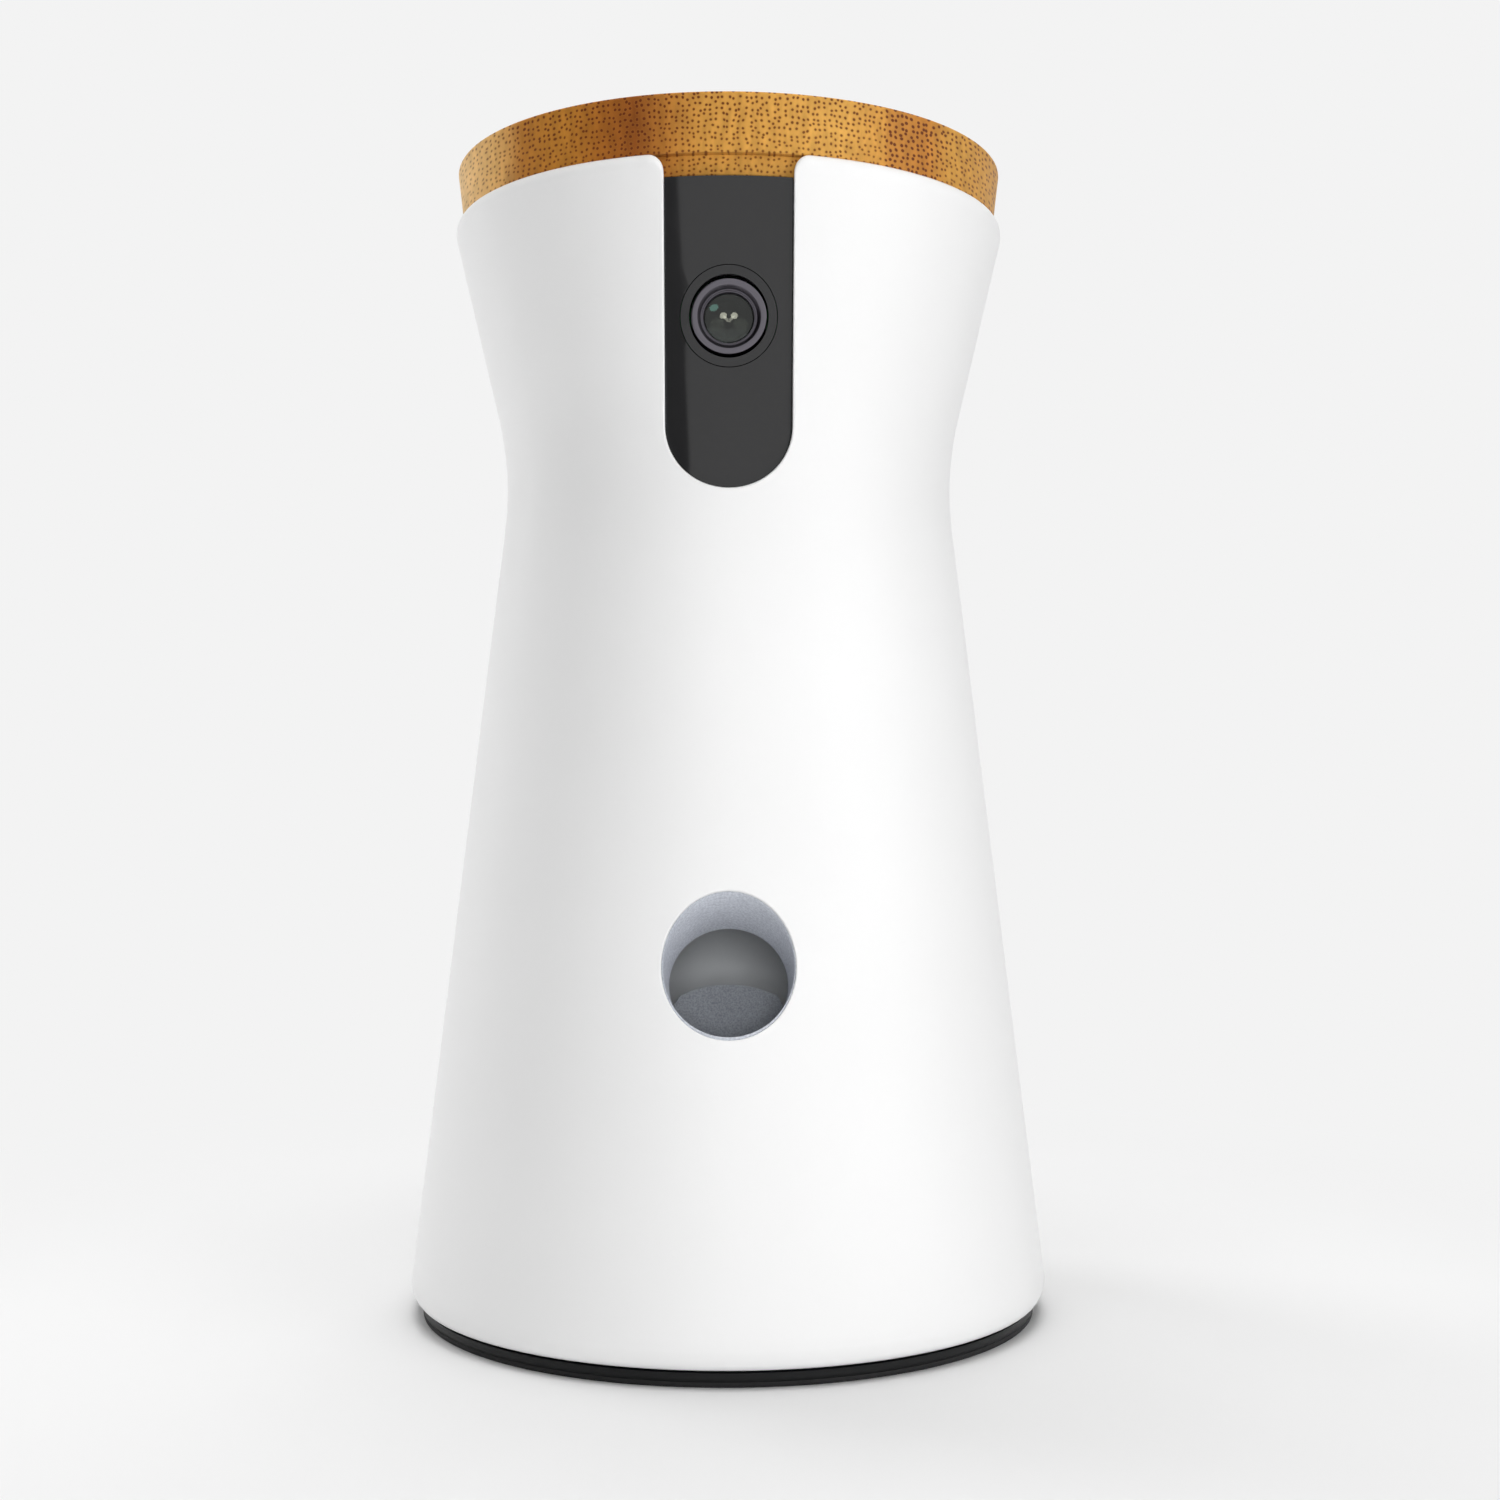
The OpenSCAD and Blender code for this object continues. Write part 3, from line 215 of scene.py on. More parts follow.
def solder_masked_board():
    """Glass-cloth circuit board under green solder mask: glossy, with lighter tracks below it."""
    made, tree, shader = finish("solder_masked_board", "#1f5b3a", 0.25, IOR=1.5)
    tracks = add(tree, "ShaderNodeTexBrick",
                 {"Vector": on_piece(tree), "Scale": per_mm(5.0), "Mortar Size": 0.05,
                  "Color1": linear("#1c5235"), "Color2": linear("#1f5b3a"),
                  "Mortar": linear("#3f8a56")})
    tree.links.new(tracks.outputs["Color"], shader.inputs["Base Color"])
    return made


def moulded_component():
    """Black epoxy of chips, sockets and lamps: smooth and near black."""
    made, tree, shader = finish("moulded_component", "#2c2d30", 0.4, IOR=1.5)
    grain(tree, shader, 0.4, 0.004, 0.08)
    return made


def plated_metal(name, colour, roughness):
    """Copper, brass or gilt sheet: warm and even, with a little tarnish."""
    made, tree, shader = finish(name, colour, roughness, Metallic=1.0)
    patches = grain(tree, shader, 3.0, 0.002, 0.06)
    tarnish = add(tree, "ShaderNodeMapRange", {"Value": patches, "To Max": 0.25})
    mottle(tree, shader, tarnish.outputs["Result"], colour, "#a8803c")
    return made


def smoked_acrylic():
    """Smoked acrylic, polished: near black, with a clean mirror-like gloss over it."""
    made, tree, shader = finish("smoked_acrylic", "#262627", 0.09, IOR=1.49)
    ripple = add(tree, "ShaderNodeTexNoise",
                 {"Vector": on_piece(tree), "Scale": per_mm(16), "Detail": 1.0})
    bump = add(tree, "ShaderNodeBump",
               {"Height": ripple.outputs["Fac"], "Distance": 0.006 * MM, "Strength": 1.0})
    tree.links.new(bump.outputs["Normal"], shader.inputs["Normal"])
    return made


# Depths below the barrel's front over which its tone turns darker, to that of the inner ring, and
# then to black: painted shade in the bore
INNER_SHADE_DEPTH, BLACK_SHADE_DEPTH = (0.08, 0.5), (1.7, 2.3)


def anodised_aluminium():
    """Aluminium, turned and anodised: a satin front ring with fine turning lines. Its tone darkens
    with depth into the bore, to black deep inside, as painted shade; only the edges of its steps
    catch the light."""
    made, tree, shader = finish("anodised_aluminium", "#706d74", 0.34, Metallic=1.0)
    centred = add(tree, "ShaderNodeMapping",
                  {"Vector": on_piece(tree), "Location": (0, 0, -LENS_Z * MM)})
    # A wave texture draws a ring every 0.31 of its cell, so these are 0.28 mm apart
    lines = add(tree, "ShaderNodeTexWave",
                {"Vector": centred.outputs["Vector"], "Scale": per_mm(0.9), "Distortion": 0.4},
                wave_type="RINGS", rings_direction="Y")
    bump = add(tree, "ShaderNodeBump",
               {"Height": lines.outputs["Fac"], "Distance": 0.002 * MM, "Strength": 1.0})
    tree.links.new(bump.outputs["Normal"], shader.inputs["Normal"])
    # How far back a point lies, along the sloping front
    axes = add(tree, "ShaderNodeSeparateXYZ", {"Vector": centred.outputs["Vector"]})
    back = add(tree, "ShaderNodeMath", {0: axes.outputs["Z"], 1: FLARE, 2: axes.outputs["Y"]},
               operation="MULTIPLY_ADD")
    inner, deep = [
        add(tree, "ShaderNodeMapRange",
            {"Value": back.outputs["Value"], "From Min": (first - BARREL_Y) * MM,
             "From Max": (last - BARREL_Y) * MM}).outputs["Result"]
        for first, last in (INNER_SHADE_DEPTH, BLACK_SHADE_DEPTH)]
    # Painted shade: the tone darkens with depth from the front ring to the inner ring, then to
    # black deep in the bore
    satin = add(tree, "ShaderNodeMix",
                {"Factor": inner, "A": linear("#706d74"), "B": linear("#625f66")}, data_type="RGBA")
    painted_shade_to_black = add(tree, "ShaderNodeMix",
                    {"Factor": deep, "A": satin.outputs["Result"], "B": linear("#201f22")},
                    data_type="RGBA")
    tree.links.new(painted_shade_to_black.outputs["Result"], shader.inputs["Base Color"])
    return made


def coated_glass():
    """Lens glass with its thin coating: dark, because little light comes back through it, with a
    clean and slightly green gloss over it."""
    return finish("coated_glass", "#3c403f", 0.02, IOR=1.58, Transmission_Weight=1.0,
                  Specular_Tint=linear("#eef2ee"))[0]


def inner_white_abs():
    """White ABS inside the body: plain moulding, a little greyer than the outside."""
    made, tree, shader = finish("inner_white_abs", "#e2e5e8", 0.45, IOR=1.52)
    grain(tree, shader, 0.6, 0.006, 0.06)
    return made


def pressed_paper():
    """Pressed paper cone: grey, fibrous and matt."""
    made, tree, shader = finish("pressed_paper", "#4a4a4d", 0.85)
    fibres = grain(tree, shader, 0.6, 0.03, 0.08, detail=4.0)
    mottle(tree, shader, fibres, "#3d3d40", "#5a5a5d")
    return made


def plated_magnet_cup():
    """Plated cup round the magnet: grey and slightly cloudy."""
    made, tree, shader = finish("plated_magnet_cup", "#9b9da0", 0.35, Metallic=0.9)
    grain(tree, shader, 2.0, 0.004, 0.08)
    return made


def grained_grey_abs(name, low, high, speck_mm):
    """Grey ABS from a spark-eroded tool: fine dark and light speckle over an even matt grey."""
    made, tree, shader = finish(name, low, 0.62, IOR=1.5)
    specks = grain(tree, shader, speck_mm, 0.03, 0.08, detail=3.0)
    crisp = add(tree, "ShaderNodeMapRange", {"Value": specks, "From Min": 0.3, "From Max": 0.7})
    mottle(tree, shader, crisp.outputs["Result"], low, high)
    return made


def soft_silicone():
    """Moulded silicone: milky, soft and slightly translucent."""
    made, tree, shader = finish("soft_silicone", "#cfcfca", 0.55, IOR=1.43,
                                Subsurface_Weight=0.15, Subsurface_Scale=0.5 * MM)
    grain(tree, shader, 0.8, 0.004, 0.05)
    return made


# The bamboo's boards across the lid: place in millimetres, how dense the dark ends of its fibre
# bundles are, and the ground's colour
BOARDS = ((-54, 0.24, "#f0c98c"), (-43, 0.40, "#eab86e"), (-37, 0.66, "#bd7c30"),
          (-29, 0.60, "#c28232"), (-22, 0.74, "#ab6826"), (-16, 0.76, "#8f501e"),
          (-11, 0.66, "#b47530"), (-4, 0.68, "#cf9644"), (20, 0.62, "#dca54f"),
          (28.0, 0.56, "#d49844"), (28.8, 0.98, "#c4863a"), (36, 0.94, "#bf7d33"),
          (41, 0.62, "#d09945"), (54, 0.56, "#cf9844"))

# Pattern sizes in millimetres: the bundles' spacing, how far it wanders and over what length, the
# clouds where they crowd, and the mottling of the pith between them
BUNDLE_MM, WANDER_MM, WANDER_OVER_MM, CROWD_MM, PITH_MM = 1.0, 0.8, 4, 6, 1.5
# Heights between which the bundles get denser and larger towards the lid's top
CROWD_Z = (207, 222)


def across_boards(tree, across, colours):
    """Colours placed across the lid's width, blended from each board to the next."""
    reach = -BOARDS[0][0]
    to_ramp = add(tree, "ShaderNodeMapRange",
                  {"Value": across, "From Min": -reach * MM, "From Max": reach * MM})
    made = add(tree, "ShaderNodeValToRGB", {"Fac": to_ramp.outputs["Result"]})
    stops = made.color_ramp.elements
    for (at, *_), colour in zip(BOARDS, colours):
        share = (at + reach) / (2 * reach)
        stop = stops[0] if share == 0 else stops[-1] if share == 1 else stops.new(share)
        stop.color = colour
    return made.outputs["Color"]


def fibre_bundles(tree, axes, flat):
    """The dark ends of the fibre bundles, from a point's axes and its place on the lid's front:
    how far the point lies inside one, and how dark it is for that."""
    cloud = add(tree, "ShaderNodeTexNoise",
                {"Vector": flat, "Scale": per_mm(CROWD_MM), "Detail": 3.0})
    height = add(tree, "ShaderNodeMapRange",
                 {"Value": axes.outputs["Z"], "From Min": CROWD_Z[0] * MM,
                  "From Max": CROWD_Z[1] * MM, "To Min": -0.34, "To Max": -0.14})
    crowd = add(tree, "ShaderNodeMath",
                {0: cloud.outputs["Fac"], 1: 0.4, 2: height.outputs["Result"]},
                operation="MULTIPLY_ADD")
    board = across_boards(tree, axes.outputs["X"], [(d, d, d, 1) for _, d, _ in BOARDS])
    dense = add(tree, "ShaderNodeMath", {0: crowd.outputs["Value"], 1: board})
    cells = add(tree, "ShaderNodeTexVoronoi",
                {"Vector": flat, "Scale": per_mm(BUNDLE_MM), "Randomness": 0.58},
                voronoi_dimensions="2D")
    # Radius and distances are in cells of the pattern
    radius = add(tree, "ShaderNodeMapRange",
                 {"Value": dense.outputs["Value"], "From Min": 0.2, "To Min": 0.14,
                  "To Max": 0.29})
    into = add(tree, "ShaderNodeMath",
               {0: radius.outputs["Result"], 1: cells.outputs["Distance"]}, operation="SUBTRACT")
    dot = add(tree, "ShaderNodeMapRange",
              {"Value": into.outputs["Value"], "From Min": -0.04, "From Max": 0.05})
    fade = add(tree, "ShaderNodeMapRange",
               {"Value": dense.outputs["Value"], "From Min": 0.15, "From Max": 0.75,
                "To Min": 0.42, "To Max": 0.95})
    dark = add(tree, "ShaderNodeMath",
               {0: dot.outputs["Result"], 1: fade.outputs["Result"]}, operation="MULTIPLY")
    return into.outputs["Value"], dark.outputs["Value"]


def oiled_bamboo():
    """Bamboo boards glued side by side, sanded and oiled. Their fibres run from front to back, so
    the front and back show the bundles' ends as dark dots, and the sides and top fine streaks."""
    made, tree, shader = finish("oiled_bamboo", "#d9a55a", 0.5, IOR=1.45, Specular_IOR_Level=0.3)
    point = on_piece(tree)
    wobble = add(tree, "ShaderNodeTexNoise",
                 {"Vector": point, "Scale": per_mm(WANDER_OVER_MM), "Detail": 1.0})
    shift = add(tree, "ShaderNodeVectorMath",
                {0: wobble.outputs["Color"], 1: (WANDER_MM * MM, 0, WANDER_MM * MM), 2: point},
                operation="MULTIPLY_ADD")
    axes = add(tree, "ShaderNodeSeparateXYZ", {"Vector": shift.outputs["Vector"]})
    flat = add(tree, "ShaderNodeCombineXYZ",
               {"X": axes.outputs["X"], "Y": axes.outputs["Z"]}).outputs["Vector"]
    into, dark = fibre_bundles(tree, axes, flat)
    # The pith between the bundles, mottled and redder close round each of them
    ground = across_boards(tree, axes.outputs["X"], [linear(c) for _, _, c in BOARDS])
    drawn = add(tree, "ShaderNodeMapping", {"Vector": flat, "Scale": (1.0, 0.3, 1.0)})
    streaks = add(tree, "ShaderNodeTexNoise",
                  {"Vector": drawn.outputs["Vector"], "Scale": per_mm(PITH_MM), "Detail": 4.0})
    light = add(tree, "ShaderNodeMapRange",
                {"Value": streaks.outputs["Fac"], "From Min": 0.3, "From Max": 0.7,
                 "To Min": 0.80, "To Max": 1.10})
    pith = add(tree, "ShaderNodeVectorMath", {0: ground, "Scale": light.outputs["Result"]},
               operation="SCALE")
    halo = add(tree, "ShaderNodeMapRange",
               {"Value": into, "From Min": -0.22, "From Max": 0.0, "To Max": 0.35})
    stained = add(tree, "ShaderNodeMix",
                  {"Factor": halo.outputs["Result"], "A": pith.outputs["Vector"],
                   "B": linear("#a8682e")}, data_type="RGBA")
    wood = add(tree, "ShaderNodeMix",
               {"Factor": dark, "A": stained.outputs["Result"], "B": linear("#602a0c")},
               data_type="RGBA")
    tree.links.new(wood.outputs["Result"], shader.inputs["Base Color"])
    # The bundles' ends are sanded a little lower than the pith
    bump = add(tree, "ShaderNodeBump", {"Height": dark, "Distance": -0.02 * MM, "Strength": 0.6})
    tree.links.new(bump.outputs["Normal"], shader.inputs["Normal"])
    return made


FINISHES = {
    "white_abs": satin_white_abs(),
    "black_abs": satin_black_abs(),
    "foot_rubber": matt_rubber("foot_rubber", "#1b1b1c"),
    "bumper_rubber": matt_rubber("bumper_rubber", "#29292b"),
    "natural_acetal": natural_acetal(),
    "bright_steel": zinc_plated_steel(),
    "green_board": solder_masked_board(),
    "board_black": moulded_component(),
    "copper_strip": plated_metal("etched_copper", "#b9772f", 0.3),
    "gilt_can": plated_metal("gilt_can", "#c4b36a", 0.25),
    "pinion_brass": plated_metal("cut_brass", "#c9a24a", 0.28),
    "smoked_acrylic": smoked_acrylic(),
    "anodised_black": anodised_aluminium(),
    "coated_glass": coated_glass(),
    "inner_white_abs": inner_white_abs(),
    "speaker_paper": pressed_paper(),
    "ferrite": plated_magnet_cup(),
    "grey_abs": grained_grey_abs("grained_grey_abs", "#b4b8c2", "#d6dae2", 0.4),
    "dark_grey_abs": grained_grey_abs("grained_dark_grey_abs", "#84888f", "#a8acb3", 0.3),
    "bamboo": oiled_bamboo(),
    "silicone": soft_silicone(),
}

for part in frame["record"]["subparts"]:
    data = NODES[part["node"]].data
    data.materials.clear()
    data.materials.append(FINISHES[part["material_slot"]])


# ---- Making a mesh ----
# Height of a row of triangles, and how near a point may come to the outline, in cells; and how
# near two points may be, in millimetres
ROW_HIGH, NEAREST, SAME_POINT = 0.866, 0.62, 1e-7


def strip(bm, rows, closed=False):
    """Quads between rows of points, in millimetres. Where it is closed, the rows' ends meet too."""
    made = [[bm.verts.new(Vector(p) * MM) for p in row] for row in rows]
    for low, high in zip(made, made[1:]):
        count = len(low)
        for i in range(count if closed else count - 1):
            j = (i + 1) % count
            bm.faces.new((low[i], low[j], high[j], high[i]))


def cap(bm, points):
    """One face over points that run round it, in millimetres."""
    bm.faces.new([bm.verts.new(Vector(p) * MM) for p in points])


def inside(loop, point):
    """Whether the point lies in the loop, which runs round without a dent."""
    sides = [(q[0] - p[0]) * (point[1] - p[1]) - (q[1] - p[1]) * (point[0] - p[0])
             for p, q in zip(loop, loop[1:] + loop[:1])]
    return min(sides) > 0 or max(sides) < 0


def fill(bm, outline, holes, surface):
    """Triangles between a flat outline and the holes in it, with points every cell between them,
    each laid on the surface that surface(u, v) gives."""
    loops = [outline, *holes]
    flat = [Vector(p) for loop in loops for p in loop]
    edges = []
    for loop in loops:
        first = len(edges)
        edges += [(first + i, first + (i + 1) % len(loop)) for i in range(len(loop))]
    low_u, high_u = min(p[0] for p in outline), max(p[0] for p in outline)
    low_v, high_v = min(p[1] for p in outline), max(p[1] for p in outline)
    row_h = CELL * ROW_HIGH
    near = (CELL * NEAREST) ** 2
    fixed = list(flat)
    for j in range(1, int((high_v - low_v) / row_h) + 1):
        v = low_v + j * row_h
        beside = [p for p in fixed if abs(p.y - v) < CELL]
        for i in range(int((high_u - low_u) / CELL) + 1):
            u = low_u + (i + 0.5 * (j % 2)) * CELL
            if all((p.x - u) ** 2 + (p.y - v) ** 2 > near for p in beside):
                flat.append(Vector((u, v)))
    points, _, faces, *_ = delaunay_2d_cdt(flat, edges, [], 1, SAME_POINT)
    made = [bm.verts.new(Vector(surface(p.x, p.y)) * MM) for p in points]
    for face in faces:
        middle = sum((points[i] for i in face), Vector((0, 0))) / len(face)
        if not any(inside(hole, middle) for hole in holes):
            bm.faces.new([made[i] for i in face])
    for lone in [v for v in made if not v.link_faces]:
        bm.verts.remove(lone)


def in_scene(name, bm, material):
    """The finished mesh as an object of the scene."""
    mesh = bpy.data.meshes.new(name)
    bm.to_mesh(mesh)
    bm.free()
    mesh.materials.append(material)
    made = bpy.data.objects.new(name, mesh)
    SCENE.collection.objects.link(made)
    return made


def piece(name, bm, body, slot, *replaced):
    """Makes the mesh a piece that rides on the body and stands for the replaced nodes."""
    bmesh.ops.remove_doubles(bm, verts=bm.verts, dist=WELD)
    bmesh.ops.recalc_face_normals(bm, faces=bm.faces)
    made = in_scene(name, bm, FINISHES[slot])
    made.data.shade_smooth()
    made.data.set_sharp_from_angle(angle=SHARP)
    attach(made, body)
    if replaced:
        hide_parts(*replaced)
    return made


# ---- Body shell ----
# Half the width of the front, whose mesh is laid out by x and z. The sides and back are laid out
# by angle, in so many steps, with a finer patch for the speaker holes: its columns each way from
# the middle, and its top and bottom
FRONT_HALF_W = 29.9
SIDE_STEPS, PATCH_COLUMNS = 84, 5
PATCH_TOP, PATCH_BOTTOM = GRILLE_Z + 14.0, GRILLE_Z - 14.0

# Steps of a rounded edge, from its end inside the opening to its start on the surface: distance
# from the edge and depth, as shares of the rounding. Flat rows follow: one just past it, one part
# of the way on, and one at the end of the band
ROUND_STEPS = [(1 - math.sin(math.radians(a)), 1 - math.cos(math.radians(a)))
               for a in (90, 76, 62, 48, 34, 20, 8, 0)]
VENT_STEPS = ROUND_STEPS[::2] + [ROUND_STEPS[-1]]
NO_ROUND = [(0.0, 0.0)]
JUST_PAST, BAND_NEXT, BAND_END = 0.06, 0.4, 3.2

# Rounds of the search for where the chute meets the wall
MOUTH_TRIES = 12


def front_point(x, z, off=0.0):
    """The point of the front surface that is seen at x, z."""
    return x, -math.sqrt(wall_r(z, off) ** 2 - x * x), z


def spread(first, last, step):
    """Evenly spaced values from first to last, about a step apart."""
    count = max(1, round(abs(last - first) / step))
    return [first + (last - first) * i / count for i in range(count + 1)]


def edge_path():
    """The front of the shell's upper edge, which dips into the slot: for each point its place x, z,
    its direction into the wall, and 1 on the rim, 0 in the slot and between at the corners."""
    corner_x, corner_z = SLOT_HALF_W + SLOT_MOUTH_R, RIM_Z - SLOT_MOUTH_R
    mid_z = SLOT_BOTTOM_Z + SLOT_HALF_W
    path = [(x, RIM_Z, 0.0, -1.0, 1.0) for x in spread(-FRONT_HALF_W, -corner_x, CELL)]
    for a in spread(90, 0, CORNER_STEP)[1:]:
        c, s = math.cos(math.radians(a)), math.sin(math.radians(a))
        path.append((-corner_x + SLOT_MOUTH_R * c, corner_z + SLOT_MOUTH_R * s, -c, -s, a / 90))
    path += [(-SLOT_HALF_W, z, -1.0, 0.0, 0.0) for z in spread(corner_z, mid_z, SLOT_CELL)[1:]]
    for a in spread(180, 270, SLOT_STEP)[1:]:
        c, s = math.cos(math.radians(a)), math.sin(math.radians(a))
        path.append((SLOT_HALF_W * c, mid_z + SLOT_HALF_W * s, c, s, 0.0))
    return path + [(-x, z, -nx, nz, share) for x, z, nx, nz, share in reversed(path[:-1])]


def edge_rows(share, off):
    """Distance from the upper edge and depth of each row of the band along it."""
    if off:
        return [(0.0, 0.0), (BAND_END, 0.0)]
    high = EDGE_ROUND + (LIP_H - EDGE_ROUND) * share
    deep = EDGE_ROUND + (wall_r(RIM_Z) - RIM_R - EDGE_ROUND) * share
    rows = [(d * high, h * deep) for d, h in ROUND_STEPS]
    past = high + JUST_PAST
    return rows + [(past, 0.0), (past + (BAND_END - past) * BAND_NEXT, 0.0), (BAND_END, 0.0)]


def edge_point(at, row, off):
    """A point of the band: on the surface, or sunk below it where the edge is rounded."""
    x, z, nx, nz, share = at
    d, depth = edge_rows(share, off)[row]
    x, y, z = front_point(x + nx * d, z + nz * d, off)
    r = math.hypot(x, y)
    return (x - depth * share * x / r, y + depth * (1 - share - share * y / r), z)


def chute_place(x, up, along):
    """A point of the chute, from its place across it and how far along it lies."""
    c, s = math.cos(CHUTE_TILT), math.sin(CHUTE_TILT)
    return x, up * s + along * c - wall_r(CHUTE_Z), CHUTE_Z + up * c - along * s


def chute_point(a, r, off, depth=0.0, taller=MOUTH_TALLER):
    """Where the chute's tunnel of radius r meets the surface at the angle a, and then inwards."""
    x, up = r * math.cos(a), r * math.sin(a)
    up += math.sin(a) * (taller[0] if up > 0 else taller[1])
    along = 0.0
    for _ in range(MOUTH_TRIES):
        _, y, z = chute_place(x, up, along)
        along += (-math.sqrt(wall_r(z, off) ** 2 - x * x) - y) / math.cos(CHUTE_TILT)
    return chute_place(x, up, along + depth)


def ring_angles(count):
    """Angles evenly round a full turn."""
    return [2 * math.pi * i / count for i in range(count)]


def side_point(share, z, depth, off):
    """A point on the sides and back: share 0 meets the front at the right and 1 at the left."""
    r = wall_r(z, off)
    first = math.asin(FRONT_HALF_W / r)
    a = first + share * (2 * math.pi - 2 * first)
    r -= depth
    return r * math.sin(a), -r * math.cos(a), z


def grille_holes():
    """Middles of the speaker holes: rows of a triangular pattern inside a circle."""
    rows = range(-GRILLE_ROWS, GRILLE_ROWS + 1)
    row_h = GRILLE_PITCH * math.sin(math.pi / 3)
    places = [((i + (0 if j % 2 == 0 else 0.5)) * GRILLE_PITCH, j * row_h)
              for i in rows for j in rows]
    return [(x, GRILLE_Z + z) for x, z in places if math.hypot(x, z) < GRILLE_R]


def back_flat(x, z, off):
    """Flat place on the back: the angle from the middle, rolled out, and the height."""
    return -math.asin(x / wall_r(z, off)) * wall_r(GRILLE_Z), z


def back_point(u, v, off):
    """The point of the back at that flat place."""
    a = math.pi + u / wall_r(GRILLE_Z)
    return wall_r(v, off) * math.sin(a), -wall_r(v, off) * math.cos(a), v


def side_walls(bm, off, heights, shares):
    """The sides and back, from the rim down, round the patch with the speaker holes. Returns the
    patch's heights and shares."""
    rim_rows = [(RIM_Z - d, depth) for d, depth in edge_rows(1.0, off)]
    strip(bm, [[side_point(s, z, depth, off) for s in shares] for z, depth in rim_rows])
    low, high = SIDE_STEPS // 2 - PATCH_COLUMNS, SIDE_STEPS // 2 + PATCH_COLUMNS
    top, bottom = heights.index(PATCH_TOP), heights.index(PATCH_BOTTOM)
    for first, last, columns in ((0, top, shares), (top, bottom, shares[:low + 1]),
                                 (top, bottom, shares[high:]),
                                 (bottom, len(heights) - 1, shares)):
        strip(bm, [[side_point(s, z, 0.0, off) for s in columns]
                   for z in heights[first:last + 1]])
    return heights[top:bottom + 1], shares[low:high + 1]


def front_wall(bm, off, band_end, heights, columns):
    """The front, between the band, the sides and the lower edge, round the chute's mouth. Returns
    the mouth's edge."""
    steps, past = (NO_ROUND, 0.0) if off else (ROUND_STEPS, HOLE_ROUND + JUST_PAST)
    angles = ring_angles(HOLE_POINTS)
    mouth = [chute_point(a, CHUTE_R + past, off) for a in angles]
    outline = ([(x, z) for x, _, z in band_end]
               + [(FRONT_HALF_W, z) for z in heights[1:]]
               + [(x, heights[-1]) for x in reversed(columns[:-1])]
               + [(-FRONT_HALF_W, z) for z in reversed(heights[1:-1])])
    fill(bm, outline, [[(x, z) for x, _, z in mouth]], lambda u, v: front_point(u, v, off))
    tunnel = [[chute_point(a, CHUTE_R + d * HOLE_ROUND, off, h * HOLE_ROUND) for a in angles]
              for d, h in steps]
    if not off:
        strip(bm, [*tunnel, mouth], closed=True)
    return tunnel[0]


def speaker_patch(bm, off, heights, shares):
    """The patch of the back with the speaker holes. Returns the holes' edges."""
    def flat(share, z):
        x, y, _ = side_point(share, z, 0.0, off)
        return (math.atan2(x, -y) % (2 * math.pi) - math.pi) * wall_r(GRILLE_Z), z

    outline = ([flat(s, heights[0]) for s in shares]
               + [flat(shares[-1], z) for z in heights[1:]]
               + [flat(s, heights[-1]) for s in reversed(shares[:-1])]
               + [flat(shares[0], z) for z in reversed(heights[1:-1])])
    steps, past = (NO_ROUND, 0.0) if off else (VENT_STEPS, GRILLE_ROUND + JUST_PAST)
    turns = ring_angles(GRILLE_POINTS)
    vents, loops = [], []
    for x, z in grille_holes():
        def ring(r):
            return [back_flat(x + r * math.cos(a), z + r * math.sin(a), off) for a in turns]

        rows = []
        for d, h in steps:
            laid = [back_point(u, v, off) for u, v in ring(GRILLE_HOLE_R + d * GRILLE_ROUND)]
            rows.append([(px, py - h * GRILLE_ROUND, pz) for px, py, pz in laid])
        loop = ring(GRILLE_HOLE_R + past)
        if not off:
            strip(bm, rows + [[back_point(u, v, off) for u, v in loop]], closed=True)
        vents.append(rows[0])
        loops.append(loop)
    fill(bm, outline, loops, lambda u, v: back_point(u, v, off))
    return vents


def shell_layer(bm, off):
    """The outer surface, or the inner one where off is the wall's thickness. Returns its edges: the
    upper one, the lower one, the chute's and those of the speaker holes."""
    path = edge_path()
    rows = edge_rows(1.0, off)
    band = [[edge_point(at, row, off) for at in path] for row in range(len(rows))]
    strip(bm, band)
    bottom_z = SKIRT_Z if off else SKIRT_Z + SKIRT_TALL
    heights = (spread(RIM_Z - BAND_END, PATCH_TOP, CELL)
               + spread(PATCH_TOP, PATCH_BOTTOM, CELL)[1:]
               + spread(PATCH_BOTTOM, bottom_z, CELL)[1:])
    shares = spread(0, 1, 1 / SIDE_STEPS)
    columns = spread(-FRONT_HALF_W, FRONT_HALF_W, CELL)
    patch = side_walls(bm, off, heights, shares)
    mouth = front_wall(bm, off, band[-1], heights, columns)
    vents = speaker_patch(bm, off, *patch)
    upper = band[0] + [side_point(s, RIM_Z, rows[0][1], off) for s in shares[1:-1]]
    lower = ([front_point(x, bottom_z, off) for x in columns]
             + [side_point(s, bottom_z, 0.0, off) for s in shares[1:-1]])
    return upper, lower, mouth, vents


def body_shell():
    """One-piece moulded body: two layers joined along the rim and slot, the chute's mouth, the
    speaker holes and the rounded lower edge."""
    bm = bmesh.new()
    upper, lower, mouth, vents = shell_layer(bm, 0.0)
    upper_in, lower_in, mouth_in, vents_in = shell_layer(bm, WALL)
    strip(bm, [upper, upper_in], closed=True)
    strip(bm, [mouth, mouth_in], closed=True)
    for vent, vent_in in zip(vents, vents_in):
        strip(bm, [vent, vent_in], closed=True)
    skirt = []
    for a in spread(0, 90, SKIRT_STEP):
        sink = SKIRT_ROUND * (1 - math.cos(math.radians(a)))
        drop = SKIRT_TALL * math.sin(math.radians(a))
        row = []
        for x, y, z in lower:
            r = math.hypot(x, y)
            row.append((x * (r - sink) / r, y * (r - sink) / r, z - drop))
        skirt.append(row)
    strip(bm, skirt + [lower_in], closed=True)
    return piece("body_shell", bm, "rotor", "white_abs", "outer_shell")


